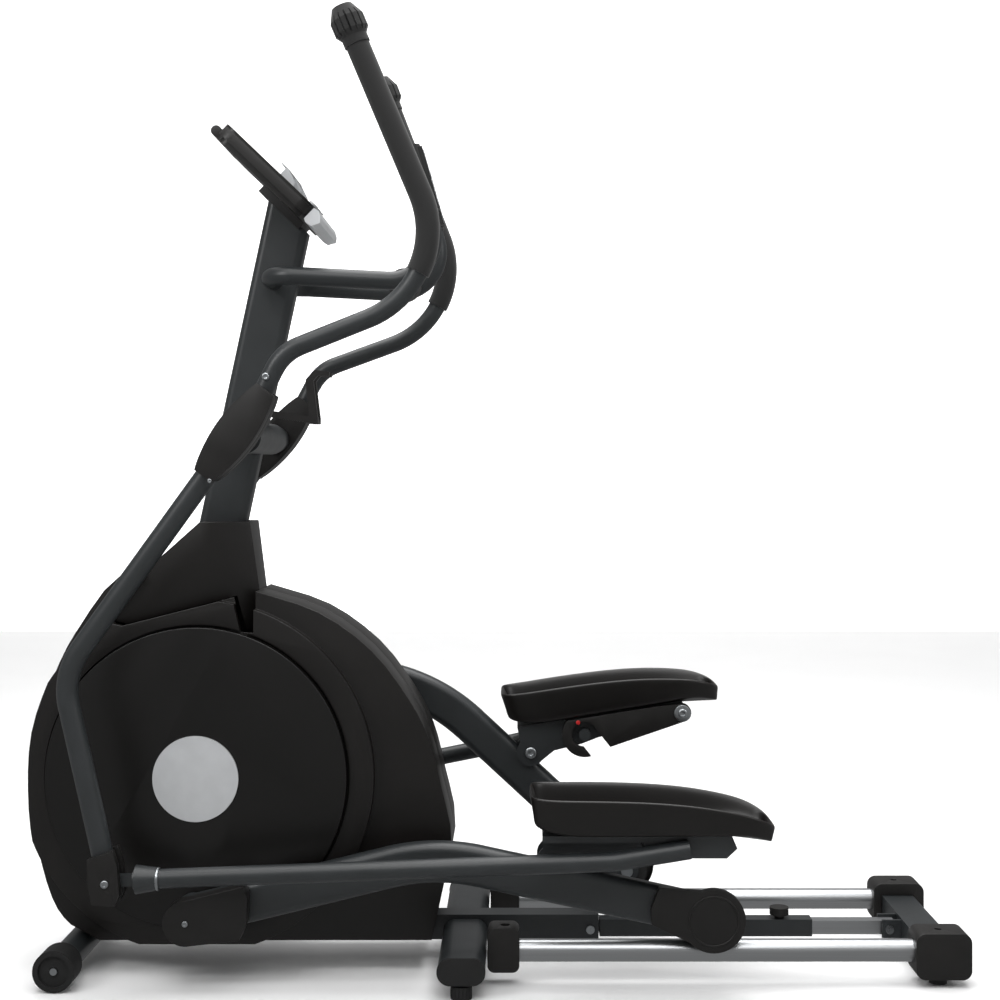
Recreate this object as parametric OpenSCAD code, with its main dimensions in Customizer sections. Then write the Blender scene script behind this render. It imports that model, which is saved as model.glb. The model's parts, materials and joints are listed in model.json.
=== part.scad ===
// Front-drive elliptical trainer, free standing. Millimetres, Z up, floor at Z = 0.
// X runs from the drive housing (negative) to the rear stabiliser (positive).
// The user faces -X, so the user's left side is -Y and the right side is +Y.
// The model stands with the left crank pin at the bottom and the right one at the top.

/* [Drive] */
// Crank axle, distance in front of the origin
crank_x = -513.5; // [-530:0.5:-490]
// Crank axle height above the floor
crank_z = 339; // [325:1:355]
// Crank throw, half of the stride
crank_r = 225; // [200:1:232]
// Diameter of the crank axle
crank_axle_d = 25; // [20:1:30]
// Radius of the turning cover disc
disc_r = 260; // [240:1:270]
// Distance from the middle plane to the outer face of the disc
disc_face_y = 125; // [122:1:130]
// Thickness of the turning cover disc
disc_t = 22; // [15:1:24]
// Radius of the bright hub cap
hub_cap_r = 74; // [50:1:90]
// Radius of the belt pulley on the crank axle
pulley_r = 150; // [120:1:160]
// Radius of the small pulley on the flywheel
flywheel_pulley_r = 20; // [16:1:26]
// Radius of the flywheel
flywheel_r = 118; // [90:1:125]
// Flywheel axle, distance behind the crank axle
flywheel_dx = 250; // [225:1:260]
// Flywheel axle height above the floor
flywheel_z = 232; // [220:1:250]

/* [Roller arms] */
// Crank pin to roller axle
arm_len = 885; // [860:1:910]
// Width of the arched tube
arm_w = 40; // [30:1:44]
// Depth of the arched tube
arm_depth = 68; // [50:1:72]
// Distance from the crank pin to the bend, along the arm
arm_bend_x = 413; // [380:1:440]
// Height of the bend above the line from pin to roller
arm_bend_up = 101; // [80:1:110]
// Pedal pivot, distance from the crank pin along the arm
hinge_along = 614; // [590:1:640]
// Pedal pivot, height above the line from pin to roller
hinge_up = 101; // [98:1:110]
// Radius of the roller
roller_r = 39; // [35:1:42]
// Width of the roller
roller_w = 26; // [20:1:30]
// Radius of the roller guard
guard_r = 54; // [50:1:54]

/* [Rails] */
// Distance from the middle plane to each rail
rail_y = 160; // [150:1:170]
// Rail diameter
rail_d = 38; // [32:1:40]
// Height of the rail axis above the floor
rail_z = 55; // [50:1:60]
// Front end of the rails, behind the crank axle
rail_start = 534; // [525:1:545]

/* [Swing arms] */
// Pivot of the swing arms, behind the crank axle
pivot_dx = 88; // [80:1:96]
// Pivot height above the floor
pivot_z = 928; // [915:1:940]
// Pivot to lower knuckle
lever = 762.6; // [750:1:775]
// Knuckle to pedal pivot
link_len = 734.8; // [725:1:745]
// Distance from the middle plane to the swing arms
arm_y = 240; // [236:1:250]
// Diameter of the lower tube of the swing arm
lower_tube_d = 36; // [32:1:38]
// Diameter of the hand lever tube
upper_tube_d = 32; // [28:1:34]
// Diameter of the pedal tube
pedal_tube_d = 32; // [28:1:34]
// Diameter of the foam grip
grip_d = 40; // [36:1:44]

/* [Mast and console] */
// Lean of the mast towards the user
mast_lean = 12.1; // [10:0.1:14]
// Depth of the mast section
mast_depth = 82; // [76:1:90]
// Width of the mast section
mast_w = 50; // [40:1:60]
// Wall of the mast
mast_wall = 3; // [2:0.5:4]
// Height of the top of the mast, on its axis
mast_top = 1328; // [1320:1:1332]
// Width of the console
console_w = 280; // [240:5:320]
// Length of the console face
console_l = 209; // [195:1:225]
// Thickness of the console
console_t = 31; // [28:1:36]
// Tilt of the console face above level
console_tilt = 43.7; // [40:0.1:46]

/* [Handlebar] */
// Diameter of the fixed handlebar
bar_d = 32; // [28:1:34]
// Distance from the middle plane to each side of the handlebar
bar_y = 98; // [90:1:110]
// Height of the handlebar at the mast
bar_z = 1209; // [1195:1:1220]

/* [Pedals] */
// Pedal length
pedal_l = 404; // [380:1:420]
// Pedal width
pedal_w = 166; // [150:1:170]
// Inner edge of the pedal, from the middle plane
pedal_in_y = 100; // [98:1:104]
// Height of the pedal rim above its underside
pedal_h = 58; // [50:1:64]
// Wall of the pedal tray
pedal_wall = 5; // [3:0.5:7]

/* [Housing] */
// Half width of the housing away from the drums
shell_y = 88; // [84:1:92]
// Half width of the housing at the round drums
drum_y = 112; // [110:1:114]
// Radius of the round drum
drum_r = 306; // [300:1:310]
// Wall of the housing
shell_t = 3; // [2.5:0.5:4]
// Height of the lower edge of the housing
shell_z = 50; // [48:1:54]
// Half width of the upper shroud
shroud_y = 73; // [66:1:78]
// Half width of the shroud at its rear edge
shroud_rear_y = 36; // [32:1:44]

/* [Stabilisers] */
// Front stabiliser, in front of the crank axle
front_bar_dx = 219; // [210:1:230]
// Diameter of the front stabiliser tube
front_bar_d = 50; // [44:1:56]
// Diameter of the transport wheels
transport_d = 70; // [62:1:76]
// Outer face of each transport wheel, from the middle plane
transport_face_y = 216; // [205:1:225]
// Middle stabiliser, behind the crank axle
middle_bar_dx = 462; // [456:1:470]
// Half length of the middle stabiliser
middle_bar_y = 250; // [240:1:262]
// Height of the middle stabiliser axis
middle_bar_z = 47; // [44:1:50]
// Rear stabiliser, behind the crank axle
rear_bar_dx = 1270; // [1255:1:1280]
// Length of the rear corner caps
rear_cap_l = 94; // [88:1:98]
// Height of the frame beam axis
beam_z = 54; // [50:1:56]
// Section of the frame beam, square
beam_s = 44; // [40:1:50]

/* [Hidden] */
$fn = 48;
e = 0.01;
clear = 0.4;
bolt_d = 8;
left = -1;
right = 1;

// ---- places worked out from the driving dimensions ----
rail_end = rear_bar_dx + 20;
axle_z = rail_z + rail_d / 2 + roller_r;
pivot_x = crank_x + pivot_dx;
swing_ref = 16;
mast_mid_x = crank_x + 119;
mast_mid_z = 1208;
mast_foot_z = 600;
cross_tube_r = 29;
cross_tube_y = 150;
hub_r = 25;
beam_wall = 3;

function pin_z(s) = crank_z + s * crank_r;
function arm_tilt(s) = asin((pin_z(s) - axle_z) / arm_len);
function hinge_x(s) = crank_x + hinge_along * cos(arm_tilt(s)) + hinge_up * sin(arm_tilt(s));
function hinge_z(s) = pin_z(s) - hinge_along * sin(arm_tilt(s)) + hinge_up * cos(arm_tilt(s));
function span(s) = norm([hinge_x(s) - pivot_x, hinge_z(s) - pivot_z]);
function span_dir(s) = [hinge_x(s) - pivot_x, hinge_z(s) - pivot_z] / span(s);
function span_foot(s) = (lever * lever - link_len * link_len + span(s) * span(s)) / (2 * span(s));
function span_off(s) = sqrt(lever * lever - pow(span_foot(s), 2));
function knuckle_x(s) = pivot_x + span_foot(s) * span_dir(s)[0] + span_off(s) * span_dir(s)[1];
function knuckle_z(s) = pivot_z + span_foot(s) * span_dir(s)[1] - span_off(s) * span_dir(s)[0];
function swing(s) = atan2(pivot_x - knuckle_x(s), pivot_z - knuckle_z(s));
function link_tilt(s) = atan2(hinge_z(s) - knuckle_z(s), hinge_x(s) - knuckle_x(s));
function mast_x(z) = mast_mid_x + (z - mast_mid_z) * tan(mast_lean);

// a point of the Catmull-Rom curve through four hand-set corners
function curve(a, b, c, d, t) = 0.5 * (2 * b + (c - a) * t + (2 * a - 5 * b + 4 * c - d) * t * t
    + (3 * b - a - 3 * c + d) * t * t * t);

// ---- shared building blocks ----
// a side-view profile between two distances from the middle plane
module slab(y0, y1) {
    translate([0, y1, 0]) rotate([90, 0, 0]) linear_extrude(y1 - y0) children();
}
module across(x, z, r, y0, y1, n = 48) {
    translate([x, y0, z]) rotate([-90, 0, 0]) cylinder(r = r, h = y1 - y0, $fn = n);
}
// puts a left-hand part on either side
module side(s) {
    if (s == left) children();
    else mirror([0, 1, 0]) children();
}
module on_arm(s) {
    translate([crank_x, 0, pin_z(s)]) rotate([0, arm_tilt(s), 0]) children();
}
module on_link(s) {
    translate([knuckle_x(s), 0, knuckle_z(s)]) rotate([0, -link_tilt(s), 0]) children();
}
module on_swing(s) {
    translate([pivot_x, 0, pivot_z]) rotate([0, swing(s) - swing_ref, 0]) children();
}
function unit(v) = v / norm(v);
function turn(a, b) = atan2(a[0] * b[1] - a[1] * b[0], a * b);
// a bend is slightly fatter than the straights, which run this far into it
bend_swell = 0.15;
bend_lap = 1;
// a round tube in the XZ plane through p, bent at each inner point with radius bends[i]
module bent_tube(p, bends, r) {
    n = len(p);
    dirs = [for (i = [0:n - 2]) unit(p[i + 1] - p[i])];
    cut = [for (i = [0:n - 1]) (i == 0 || i == n - 1) ? 0
        : bends[i] * tan(abs(turn(dirs[i - 1], dirs[i])) / 2)];
    for (i = [0:n - 2]) {
        a = p[i] + dirs[i] * (i == 0 ? 0 : cut[i] - bend_lap);
        b = p[i + 1] - dirs[i] * (i == n - 2 ? 0 : cut[i + 1] - bend_lap);
        translate([a[0], 0, a[1]]) rotate([0, 90 - atan2(dirs[i][1], dirs[i][0]), 0])
            cylinder(r = r, h = norm(b - a));
    }
    for (i = [1:n - 2]) {
        t = turn(dirs[i - 1], dirs[i]);
        a = p[i] - dirs[i - 1] * cut[i];
        inward = (t > 0 ? 1 : -1) * [-dirs[i - 1][1], dirs[i - 1][0]];
        c = a + inward * bends[i];
        from = atan2(-inward[1], -inward[0]);
        translate([c[0], 0, c[1]]) rotate([90, 0, 0])
            rotate([0, 0, t > 0 ? from : from + t]) rotate_extrude(angle = abs(t), $fn = 96)
                translate([bends[i], 0]) circle(r = r + bend_swell);
    }
}
module rounded(w, h, r) {
    translate([r, r]) square([w - 2 * r, h - 2 * r]);
    for (x = [r, w - r]) for (y = [r, h - r]) translate([x, y]) circle(r = r, $fn = 32);
    translate([0, r]) square([w, h - 2 * r]);
    translate([r, 0]) square([w - 2 * r, h]);
}
module bolt_head(x, z, y0, y1, d) {
    across(x, z, d / 2, y0, y1, 32);
}

// ================= frame =================
stub_end = 700;
column_w = 44;
crank_shell_r = 28;
crank_shell_y = 40;

module main_beam() {
    color("dimgray") {
        difference() {
            union() {
                translate([front_bar_x + 20, -beam_s / 2, beam_z - beam_s / 2])
                    cube([stub_end + front_bar_dx - 20, beam_s, beam_s]);
                // column up to the mast, carrying the crank bearing shell
                slab(-column_w / 2, column_w / 2) polygon([
                    [crank_x - 60, beam_z + beam_s / 2 - e], [crank_x + 60, beam_z + beam_s / 2 - e],
                    [mast_x(mast_foot_z) + 36, mast_foot_z], [mast_x(mast_foot_z) - 36, mast_foot_z]]);
                across(crank_x, crank_z, crank_shell_r, -crank_shell_y, crank_shell_y);
                // arm for the flywheel axle
                slab(-10, 10) polygon([
                    [crank_x + 40, 140], [crank_x + flywheel_dx, flywheel_z - 24],
                    [crank_x + flywheel_dx + 24, flywheel_z], [crank_x + flywheel_dx, flywheel_z + 24],
                    [crank_x + 40, 240]]);
            }
            across(crank_x, crank_z, crank_axle_d / 2 + 8, -crank_shell_y - 1, crank_shell_y + 1);
            across(crank_x + flywheel_dx, flywheel_z, 8.5, -20, 20);
            // hollow beam, open at the rear for the strut
            translate([crank_x + 130, -beam_s / 2 + beam_wall, beam_z - beam_s / 2 + beam_wall])
                cube([stub_end - 130 + 1, beam_s - 2 * beam_wall, beam_s - 2 * beam_wall]);
            across(crank_x + stub_end - 15, beam_z - 4, bolt_d / 2, -beam_s, beam_s);
            translate([crank_x + stub_end - 45, -20, beam_z - beam_s / 2 - 1]) cube([60, 40, beam_s / 2 - 6]);
            // seats for the stabilisers
            across(front_bar_x, front_bar_z, front_bar_d / 2 + clear, -100, 100);
            slab(-100, 100) translate([crank_x + middle_bar_dx, middle_bar_z]) middle_section(clear);
        }
    }
}
module mast_section(grow) {
    translate([-mast_depth / 2 - grow, -mast_w / 2 - grow])
        rounded(mast_depth + 2 * grow, mast_w + 2 * grow, 14);
}
module along_mast(z0, z1) {
    translate([mast_x(z0), 0, z0]) rotate([0, mast_lean, 0])
        linear_extrude((z1 - z0) / cos(mast_lean)) children();
}
// the mast as a solid bar, its top cut to the tilt of the console
module mast_bar(grow) {
    difference() {
        along_mast(mast_foot_z + 16 - grow, mast_top + 60) mast_section(grow);
        translate([mast_x(mast_top), -100, mast_top + grow]) rotate([0, console_tilt, 0])
            translate([-200, 0, 0]) cube([400, 200, 200]);
    }
}
module mast() {
    color("dimgray") difference() {
        union() {
            mast_bar(0);
            across(pivot_x, pivot_z, cross_tube_r, -cross_tube_y, cross_tube_y);
        }
        along_mast(mast_foot_z + 10, mast_top + 80) mast_section(-mast_wall);
        across(pivot_x, pivot_z, axle_r + clear / 2, -cross_tube_y - 1, cross_tube_y + 1);
        across(mast_x(bar_z), bar_z, bar_d / 2 + clear / 2, -100, 100);
    }
}
axle_r = 12;
axle_end_y = arm_y + 22;
module swing_axle() {
    color("silver") across(pivot_x, pivot_z, axle_r, -axle_end_y, axle_end_y);
}
module mast_bolts() {
    for (z = [mast_foot_z + 60, mast_foot_z + 130]) for (s = [left, right]) side(s)
        bolt_head(mast_x(z), z, -mast_w / 2 - 6, -mast_w / 2, 14);
}

// ================= stabilisers and rails =================
module middle_section(grow) {
    hull_w = 79;
    hull_h = 43;
    for (x = [-1, 1]) translate([x * (hull_w - hull_h) / 2, 0]) circle(r = hull_h / 2 + grow, $fn = 48);
    square([hull_w - hull_h, hull_h + 2 * grow], center = true);
}
front_bar_x = crank_x - front_bar_dx;
front_bar_z = transport_d / 2;
front_bar_end = transport_face_y - 52;
wheel_w = 50;
wheel_bolt_r = 6;
module front_stabiliser() {
    color("dimgray") difference() {
        across(front_bar_x, front_bar_z, front_bar_d / 2, -front_bar_end, front_bar_end);
        // hollow between two end plugs
        across(front_bar_x, front_bar_z, front_bar_d / 2 - 3, -front_bar_end + 8, front_bar_end - 8);
        across(front_bar_x, front_bar_z, wheel_bolt_r, -300, 300, 32);
    }
}
module transport_wheel(s) {
    ribs = 24;
    color("#1b1b1b") side(s) difference() {
        across(front_bar_x, front_bar_z, transport_d / 2, -transport_face_y, -transport_face_y + wheel_w);
        across(front_bar_x, front_bar_z, wheel_bolt_r + clear, -transport_face_y - 1,
            -transport_face_y + wheel_w + 1, 32);
        across(front_bar_x, front_bar_z, transport_d / 2 - 9, -transport_face_y - 1, -transport_face_y + 5);
        for (i = [0:ribs - 1]) translate([front_bar_x, 0, front_bar_z]) rotate([0, i * 360 / ribs, 0])
            translate([transport_d / 2, -transport_face_y + 6, -1.2]) cube([6, wheel_w - 12, 2.4]);
    }
}
module transport_bolts() {
    for (s = [left, right]) side(s)
        across(front_bar_x, front_bar_z, wheel_bolt_r, -transport_face_y + 1,
            -transport_face_y + 2 * wheel_w, 32);
}
module middle_stabiliser() {
    color("dimgray") difference() {
        slab(-middle_bar_y, middle_bar_y)
            translate([crank_x + middle_bar_dx, middle_bar_z]) middle_section(0);
        for (s = [left, right]) side(s) slab(-middle_bar_y - 1, -130)
            translate([crank_x + middle_bar_dx, middle_bar_z]) middle_section(-2.5);
        for (s = [left, right]) side(s) translate([crank_x + middle_bar_dx, -foot_y, 0])
            cylinder(r = 5 + clear, h = middle_bar_z, $fn = 32);
    }
}
foot_y = middle_bar_y - 12;
foot_h = middle_bar_z - 26;
module stabiliser_caps() {
    color("#151515") for (s = [left, right]) side(s)
        slab(-middle_bar_y - 6, -middle_bar_y - clear / 4)
            translate([crank_x + middle_bar_dx, middle_bar_z]) middle_section(1);
}
module levelling_feet() {
    color("#151515") for (s = [left, right]) side(s) {
        translate([crank_x + middle_bar_dx, -foot_y, 0]) {
            difference() {
                cylinder(r = 18, h = foot_h);
                for (i = [0:17]) rotate([0, 0, i * 20]) translate([18.5, 0, 3])
                    cylinder(r = 1.5, h = 20, $fn = 16);
            }
            translate([0, 0, foot_h - e]) cylinder(r = 5, h = 14, $fn = 32);
        }
        translate([crank_x + rear_bar_dx, -rail_y, 0]) cylinder(r = 15, h = rear_cap_low - clear);
    }
}
rear_cap_low = 13;
rear_cap_h = 78;
rear_cap_w = 62;
module rails() {
    color("silver") for (s = [left, right]) side(s) difference() {
        translate([crank_x + rail_start, -rail_y, rail_z]) rotate([0, 90, 0])
            cylinder(d = rail_d, h = rail_end - rail_start);
        translate([crank_x + rail_start - 1, -rail_y, rail_z]) rotate([0, 90, 0])
            cylinder(d = rail_d - 5, h = rail_end - rail_start + 2);
    }
}
front_cap_x0 = rail_start - 30;
front_cap_l = 54;
module front_rail_caps() {
    w = 50;
    color("#151515") for (s = [left, right]) side(s) difference() {
        slab(-rail_y - w / 2, -rail_y + w / 2) translate([crank_x + front_cap_x0, 24])
            rounded(front_cap_l, 74, 12);
        translate([crank_x + rail_start - clear, -rail_y, rail_z]) rotate([0, 90, 0])
            cylinder(d = rail_d + clear, h = 100);
        translate([crank_x + front_cap_x0 + 30, -rail_y, 80]) cylinder(r = 8, h = 30, $fn = 32);
        slab(-300, 0) translate([crank_x + middle_bar_dx, middle_bar_z]) middle_section(clear);
    }
}
module rear_caps() {
    color("#151515") for (s = [left, right]) side(s) difference() {
        slab(-rail_y - rear_cap_w / 2, -rail_y + rear_cap_w / 2)
            translate([crank_x + rear_bar_dx - rear_cap_l / 2 + 3, rear_cap_low])
                rounded(rear_cap_l, rear_cap_h, 16);
        translate([crank_x + rear_bar_dx - 100, -rail_y, rail_z]) rotate([0, 90, 0])
            cylinder(d = rail_d + clear, h = rail_end - rear_bar_dx + 100 + clear);
        translate([crank_x + rear_bar_dx, -rail_y, 84]) cylinder(r = 6, h = 20, $fn = 32);
        translate([crank_x + rear_bar_dx - rear_bar_w / 2 - clear, -rail_y + rear_cap_w / 2 - 10,
            rear_bar_z - rear_bar_h / 2 - clear])
            cube([rear_bar_w + 2 * clear, 20, rear_bar_h + 2 * clear]);
    }
}
rear_bar_w = 58;
rear_bar_h = 38;
rear_bar_z = 50;
module rear_stabiliser() {
    y = rail_y - rear_cap_w / 2 + 10 - clear;
    color("dimgray") difference() {
        union() {
            translate([crank_x + rear_bar_dx - rear_bar_w / 2, -y, rear_bar_z - rear_bar_h / 2])
                cube([rear_bar_w, 2 * y, rear_bar_h]);
            for (s = [left, right]) side(s)
                translate([crank_x + strut_rear_dx - 12, -strut_s / 2 - 7, strut_z - 16]) cube([42, 5.5, 32]);
        }
        translate([crank_x + rear_bar_dx - rear_bar_w / 2 + 3, -y - 1, rear_bar_z - rear_bar_h / 2 + 3])
            cube([rear_bar_w - 6, 2 * y + 2, rear_bar_h - 6]);
        across(crank_x + strut_rear_dx, strut_z, bolt_d / 2, -60, 60, 32);
    }
}
// ---- locking strut between the frame beam and the rear stabiliser ----
strut_z = 50;
strut_s = 30;
strut_front_dx = stub_end - 15;
strut_outer_end = rear_bar_dx - 187;
strut_rear_dx = rear_bar_dx - 51;
knob_dx = strut_outer_end - 57;
module strut_outer() {
    color("#2b2b2b") difference() {
        union() {
            translate([crank_x + stub_end + 2, -strut_s / 2, strut_z - strut_s / 2])
                cube([strut_outer_end - stub_end - 2, strut_s, strut_s]);
            translate([crank_x + strut_front_dx - 12, -8, strut_z - 8]) cube([40, 16, 16]);
        }
        translate([crank_x + stub_end + 40, -12.5, strut_z - 12.5]) cube([strut_outer_end, 25, 25]);
        across(crank_x + strut_front_dx, strut_z, bolt_d / 2, -60, 60, 32);
        translate([crank_x + knob_dx, 0, strut_z]) cylinder(r = 6 + clear, h = 40, $fn = 32);
    }
}
module strut_inner() {
    color("silver") difference() {
        translate([crank_x + stub_end + 60, -12, strut_z - 12])
            cube([strut_rear_dx + 12 - stub_end - 60, 24, 24]);
        across(crank_x + strut_rear_dx, strut_z, bolt_d / 2, -60, 60, 32);
        for (dx = [0, 60, 120]) translate([crank_x + knob_dx - dx, 0, strut_z + 4])
            cylinder(r = 6 + clear, h = 20, $fn = 32);
    }
}
module strut_knob() {
    color("#101010") translate([crank_x + knob_dx, 0, 0]) {
        translate([0, 0, strut_z + 7]) cylinder(r = 6, h = 12, $fn = 32);
        translate([0, 0, strut_z + strut_s / 2 + clear]) cylinder(r = 9, h = 6);
        translate([0, 0, strut_z + strut_s / 2 + 6]) cylinder(r = 17, h = 13);
    }
}
module strut_bolts() {
    for (dx = [strut_front_dx, strut_rear_dx]) {
        across(crank_x + dx, strut_z, bolt_d / 2, -26, 26, 32);
        for (s = [left, right]) side(s) bolt_head(crank_x + dx, strut_z, -28, -23, 15);
    }
}

// every bolt that holds the fixed frame together
module bolts() {
    color("silver") {
        mast_bolts();
        transport_bolts();
        strut_bolts();
    }
}

// ================= housing =================
// outline of the housing in side view, from the crank axle, going round from the rear foot
outline = [[405, shell_z - crank_z], [440, -130], [421, -19], [400, 62], [366, 130], [300, 216], [208, 283],
    [97, 320], [60, 330], [-60, 340], [-141, 346], [-214, 253], [-256, 170], [-287, 77], [-293, -23],
    [-284, -120], [-258, -215], [-225, -262], [-175, shell_z - crank_z]];
module shell_outline() {
    polygon([for (p = smooth_run(outline)) [crank_x + p[0], crank_z + p[1]]]);
}
function smooth_run(p) = [for (i = [0:len(p) - 1]) for (k = [0:(i == len(p) - 1 ? 0 : 2)])
    i == 0 || i >= len(p) - 2 ? p[i] + (p[min(i + 1, len(p) - 1)] - p[i]) * k / 3
        : curve(p[i - 1], p[i], p[i + 1], p[i + 2], k / 3)];
module shell_inner() {
    translate([crank_x, crank_z]) scale(0.982) translate([-crank_x, -crank_z]) shell_outline();
}
seat_y = disc_face_y - disc_t - 3;
module side_shell(s) {
    color("#1d1b1a") side(s) difference() {
        union() {
            slab(-shell_y, -0.2) shell_outline();
            intersection() {
                across(crank_x, crank_z, drum_r, -drum_y, -shell_y + e, 128);
                slab(-drum_y - 1, -shell_y + 1) shell_outline();
            }
        }
        slab(-shell_y + shell_t, 1) shell_inner();
        intersection() {
            across(crank_x, crank_z, drum_r - shell_t, -seat_y + shell_t, -shell_y + 4, 128);
            slab(-seat_y + shell_t - 1, -shell_y + 5) shell_inner();
        }
        // room for the disc and for the boss of the crank pin
        across(crank_x, crank_z, max(disc_r, crank_r + boss_r) + 4, -drum_y - 1, -seat_y, 128);
        across(crank_x, crank_z, crank_axle_d / 2 + 3, -200, 0);
        // room for the frame beam below and for the shroud above
        translate([crank_x - 400, -beam_s / 2 - clear, 0]) cube([1000, beam_s, beam_z + beam_s / 2 + clear]);
        slab(-200, 1) shroud_side(clear / 2);
        across(crank_x - 266, crank_z - 236, 7, -200, 0, 32);
    }
}
shroud_top = 779;
module shroud_side(grow) {
    polygon([[crank_x + 97 + grow, crank_z + 250 - grow], [crank_x + 97 + grow, crank_z + 320],
        [crank_x + 81 + grow, shroud_top], [crank_x - 4 - grow, shroud_top], [crank_x - 70 - grow, 720],
        [crank_x - 165 - grow, crank_z + 270], [crank_x - 130, crank_z + 262 - grow],
        [crank_x + 60, crank_z + 310 - grow], [crank_x + 75, crank_z + 250 - grow]]);
}
// seen from above, the shroud narrows to the rear of the mast
module shroud_plan(grow) {
    w = shroud_y + grow;
    rear_w = shroud_rear_y + grow;
    polygon([[crank_x - 300, -w], [crank_x + 20, -w], [crank_x + 110, -rear_w],
        [crank_x + 110, rear_w], [crank_x + 20, w], [crank_x - 300, w]]);
}
module shroud_inner() {
    translate([crank_x, 690]) scale(0.94) translate([-crank_x, -690]) shroud_side(0);
}
module shroud() {
    color("#1d1b1a") difference() {
        intersection() {
            slab(-shroud_y, shroud_y) shroud_side(0);
            translate([0, 0, 400]) linear_extrude(500) shroud_plan(0);
        }
        intersection() {
            slab(-shroud_y, shroud_y) shroud_inner();
            translate([0, 0, 400]) linear_extrude(500) shroud_plan(-shell_t);
        }
        along_mast(mast_foot_z - 40, 900) mast_section(clear);
        slab(-column_w / 2 - clear, column_w / 2 + clear)
            translate([crank_x - 60, 0]) square([130, mast_foot_z + 1]);
    }
}

// ================= crank and brake =================
module crank_axle() {
    color("silver") across(crank_x, crank_z, crank_axle_d / 2, -disc_face_y + 4, disc_face_y - 4);
}
module crank_bearings() {
    color("lightgray") for (s = [left, right]) side(s) difference() {
        across(crank_x, crank_z, crank_axle_d / 2 + 8, -crank_shell_y + 1, -crank_shell_y + 13);
        across(crank_x, crank_z, crank_axle_d / 2, -crank_shell_y, -crank_shell_y + 14);
    }
}
boss_r = 26;
module crank_disc(s) {
    color("#171615") side(s) difference() {
        union() {
            difference() {
                across(crank_x, crank_z, disc_r, -disc_face_y, -disc_face_y + disc_t, 128);
                across(crank_x, crank_z, disc_r - 6, -disc_face_y + 8, -disc_face_y + disc_t + 1, 128);
            }
            across(crank_x, crank_z, 40, -disc_face_y + 1, -disc_face_y + disc_t);
            // crank arm behind the disc and the boss of the crank pin
            slab(-disc_face_y + 1, -disc_face_y + disc_t - 3) polygon([
                [crank_x - 30, crank_z], [crank_x + 30, crank_z],
                [crank_x + 24, pin_z(s)], [crank_x - 24, pin_z(s)]]);
            across(crank_x, pin_z(s), boss_r, -disc_face_y - 6, -disc_face_y + disc_t - 3);
        }
        across(crank_x, crank_z, crank_axle_d / 2, -disc_face_y + 4, 0);
        across(crank_x, crank_z, hub_cap_r + clear, -disc_face_y - 1, -disc_face_y + 2, 96);
    }
}
module hub_caps() {
    color("#c9c9c9") for (s = [left, right]) side(s)
        across(crank_x, crank_z, hub_cap_r, -disc_face_y - 2, -disc_face_y + 2, 96);
}
belt_y = 52;
belt_w = 14;
module drive_pulley() {
    color("#303030") difference() {
        across(crank_x, crank_z, pulley_r, belt_y - belt_w / 2 - 2, belt_y + belt_w / 2 + 2, 96);
        for (i = [0:4]) translate([crank_x, 0, crank_z]) rotate([0, i * 72, 0]) across(85, 0, 34, 0, 100);
        across(crank_x, crank_z, crank_axle_d / 2, 0, 100);
    }
}
module belt() {
    d = norm([flywheel_dx, flywheel_z - crank_z]);
    lean = atan2(flywheel_z - crank_z, flywheel_dx);
    color("#0c0c0c") translate([crank_x, 0, crank_z]) rotate([0, -lean, 0]) difference() {
        belt_loop(d, 4, belt_w / 2);
        belt_loop(d, clear, belt_w);
    }
}
// the wraps are a touch larger and wider than the two straights, so that they join into one loop
module belt_loop(d, grow, half_w) {
    a = acos((pulley_r - flywheel_pulley_r) / d);
    across(0, 0, pulley_r + grow + bend_swell, belt_y - half_w, belt_y + half_w, 96);
    across(d, 0, flywheel_pulley_r + grow + bend_swell, belt_y - half_w, belt_y + half_w, 64);
    slab(belt_y - half_w + 0.3, belt_y + half_w - 0.3)
        polygon([for (p = [[0, 1, pulley_r], [d, 1, flywheel_pulley_r], [d, -1, flywheel_pulley_r],
            [0, -1, pulley_r]]) [p[0], 0] + (p[2] + grow) * [cos(a), p[1] * sin(a)]]);
}
flywheel_y = -38;
flywheel_t = 30;
module flywheel() {
    x = crank_x + flywheel_dx;
    color("gray") {
        difference() {
            across(x, flywheel_z, flywheel_r, flywheel_y - flywheel_t / 2, flywheel_y + flywheel_t / 2, 96);
            for (y = [flywheel_y - flywheel_t / 2 - 1, flywheel_y + 6])
                difference() {
                    across(x, flywheel_z, flywheel_r - 24, y, y + 10, 96);
                    across(x, flywheel_z, 26, y - 1, y + 11);
                }
        }
        across(x, flywheel_z, 8, flywheel_y, belt_y + 10, 32);
        across(x, flywheel_z, flywheel_pulley_r, belt_y - belt_w / 2 - 2, belt_y + belt_w / 2 + 2, 64);
    }
}
// magnet carrier hung in front of and over the flywheel rim
yoke_r = flywheel_r + 5;
yoke_pivot_dx = flywheel_dx - 127;
yoke_pivot_z = flywheel_z + 35;
module magnet_yoke() {
    x = crank_x + flywheel_dx;
    color("#5a5a5a") {
        difference() {
            across(x, flywheel_z, yoke_r + 12, flywheel_y - 20, flywheel_y + 20, 96);
            across(x, flywheel_z, yoke_r, flywheel_y - 40, flywheel_y + 40, 96);
            slab(flywheel_y - 50, flywheel_y + 50) polygon([[x, flywheel_z], [x - 400, flywheel_z + 100],
                [x - 400, flywheel_z - 400], [x + 400, flywheel_z - 400], [x + 400, flywheel_z + 400],
                [x + 20, flywheel_z + 400]]);
        }
        across(crank_x + yoke_pivot_dx, yoke_pivot_z, 9, flywheel_y - 20, flywheel_y + 20, 32);
    }
}
module brake_motor() {
    color("#282828") translate([crank_x - 190, 24, 120]) {
        cube([70, 40, 60]);
        translate([35, 20, 59]) cylinder(r = 12, h = 12);
    }
}

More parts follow.
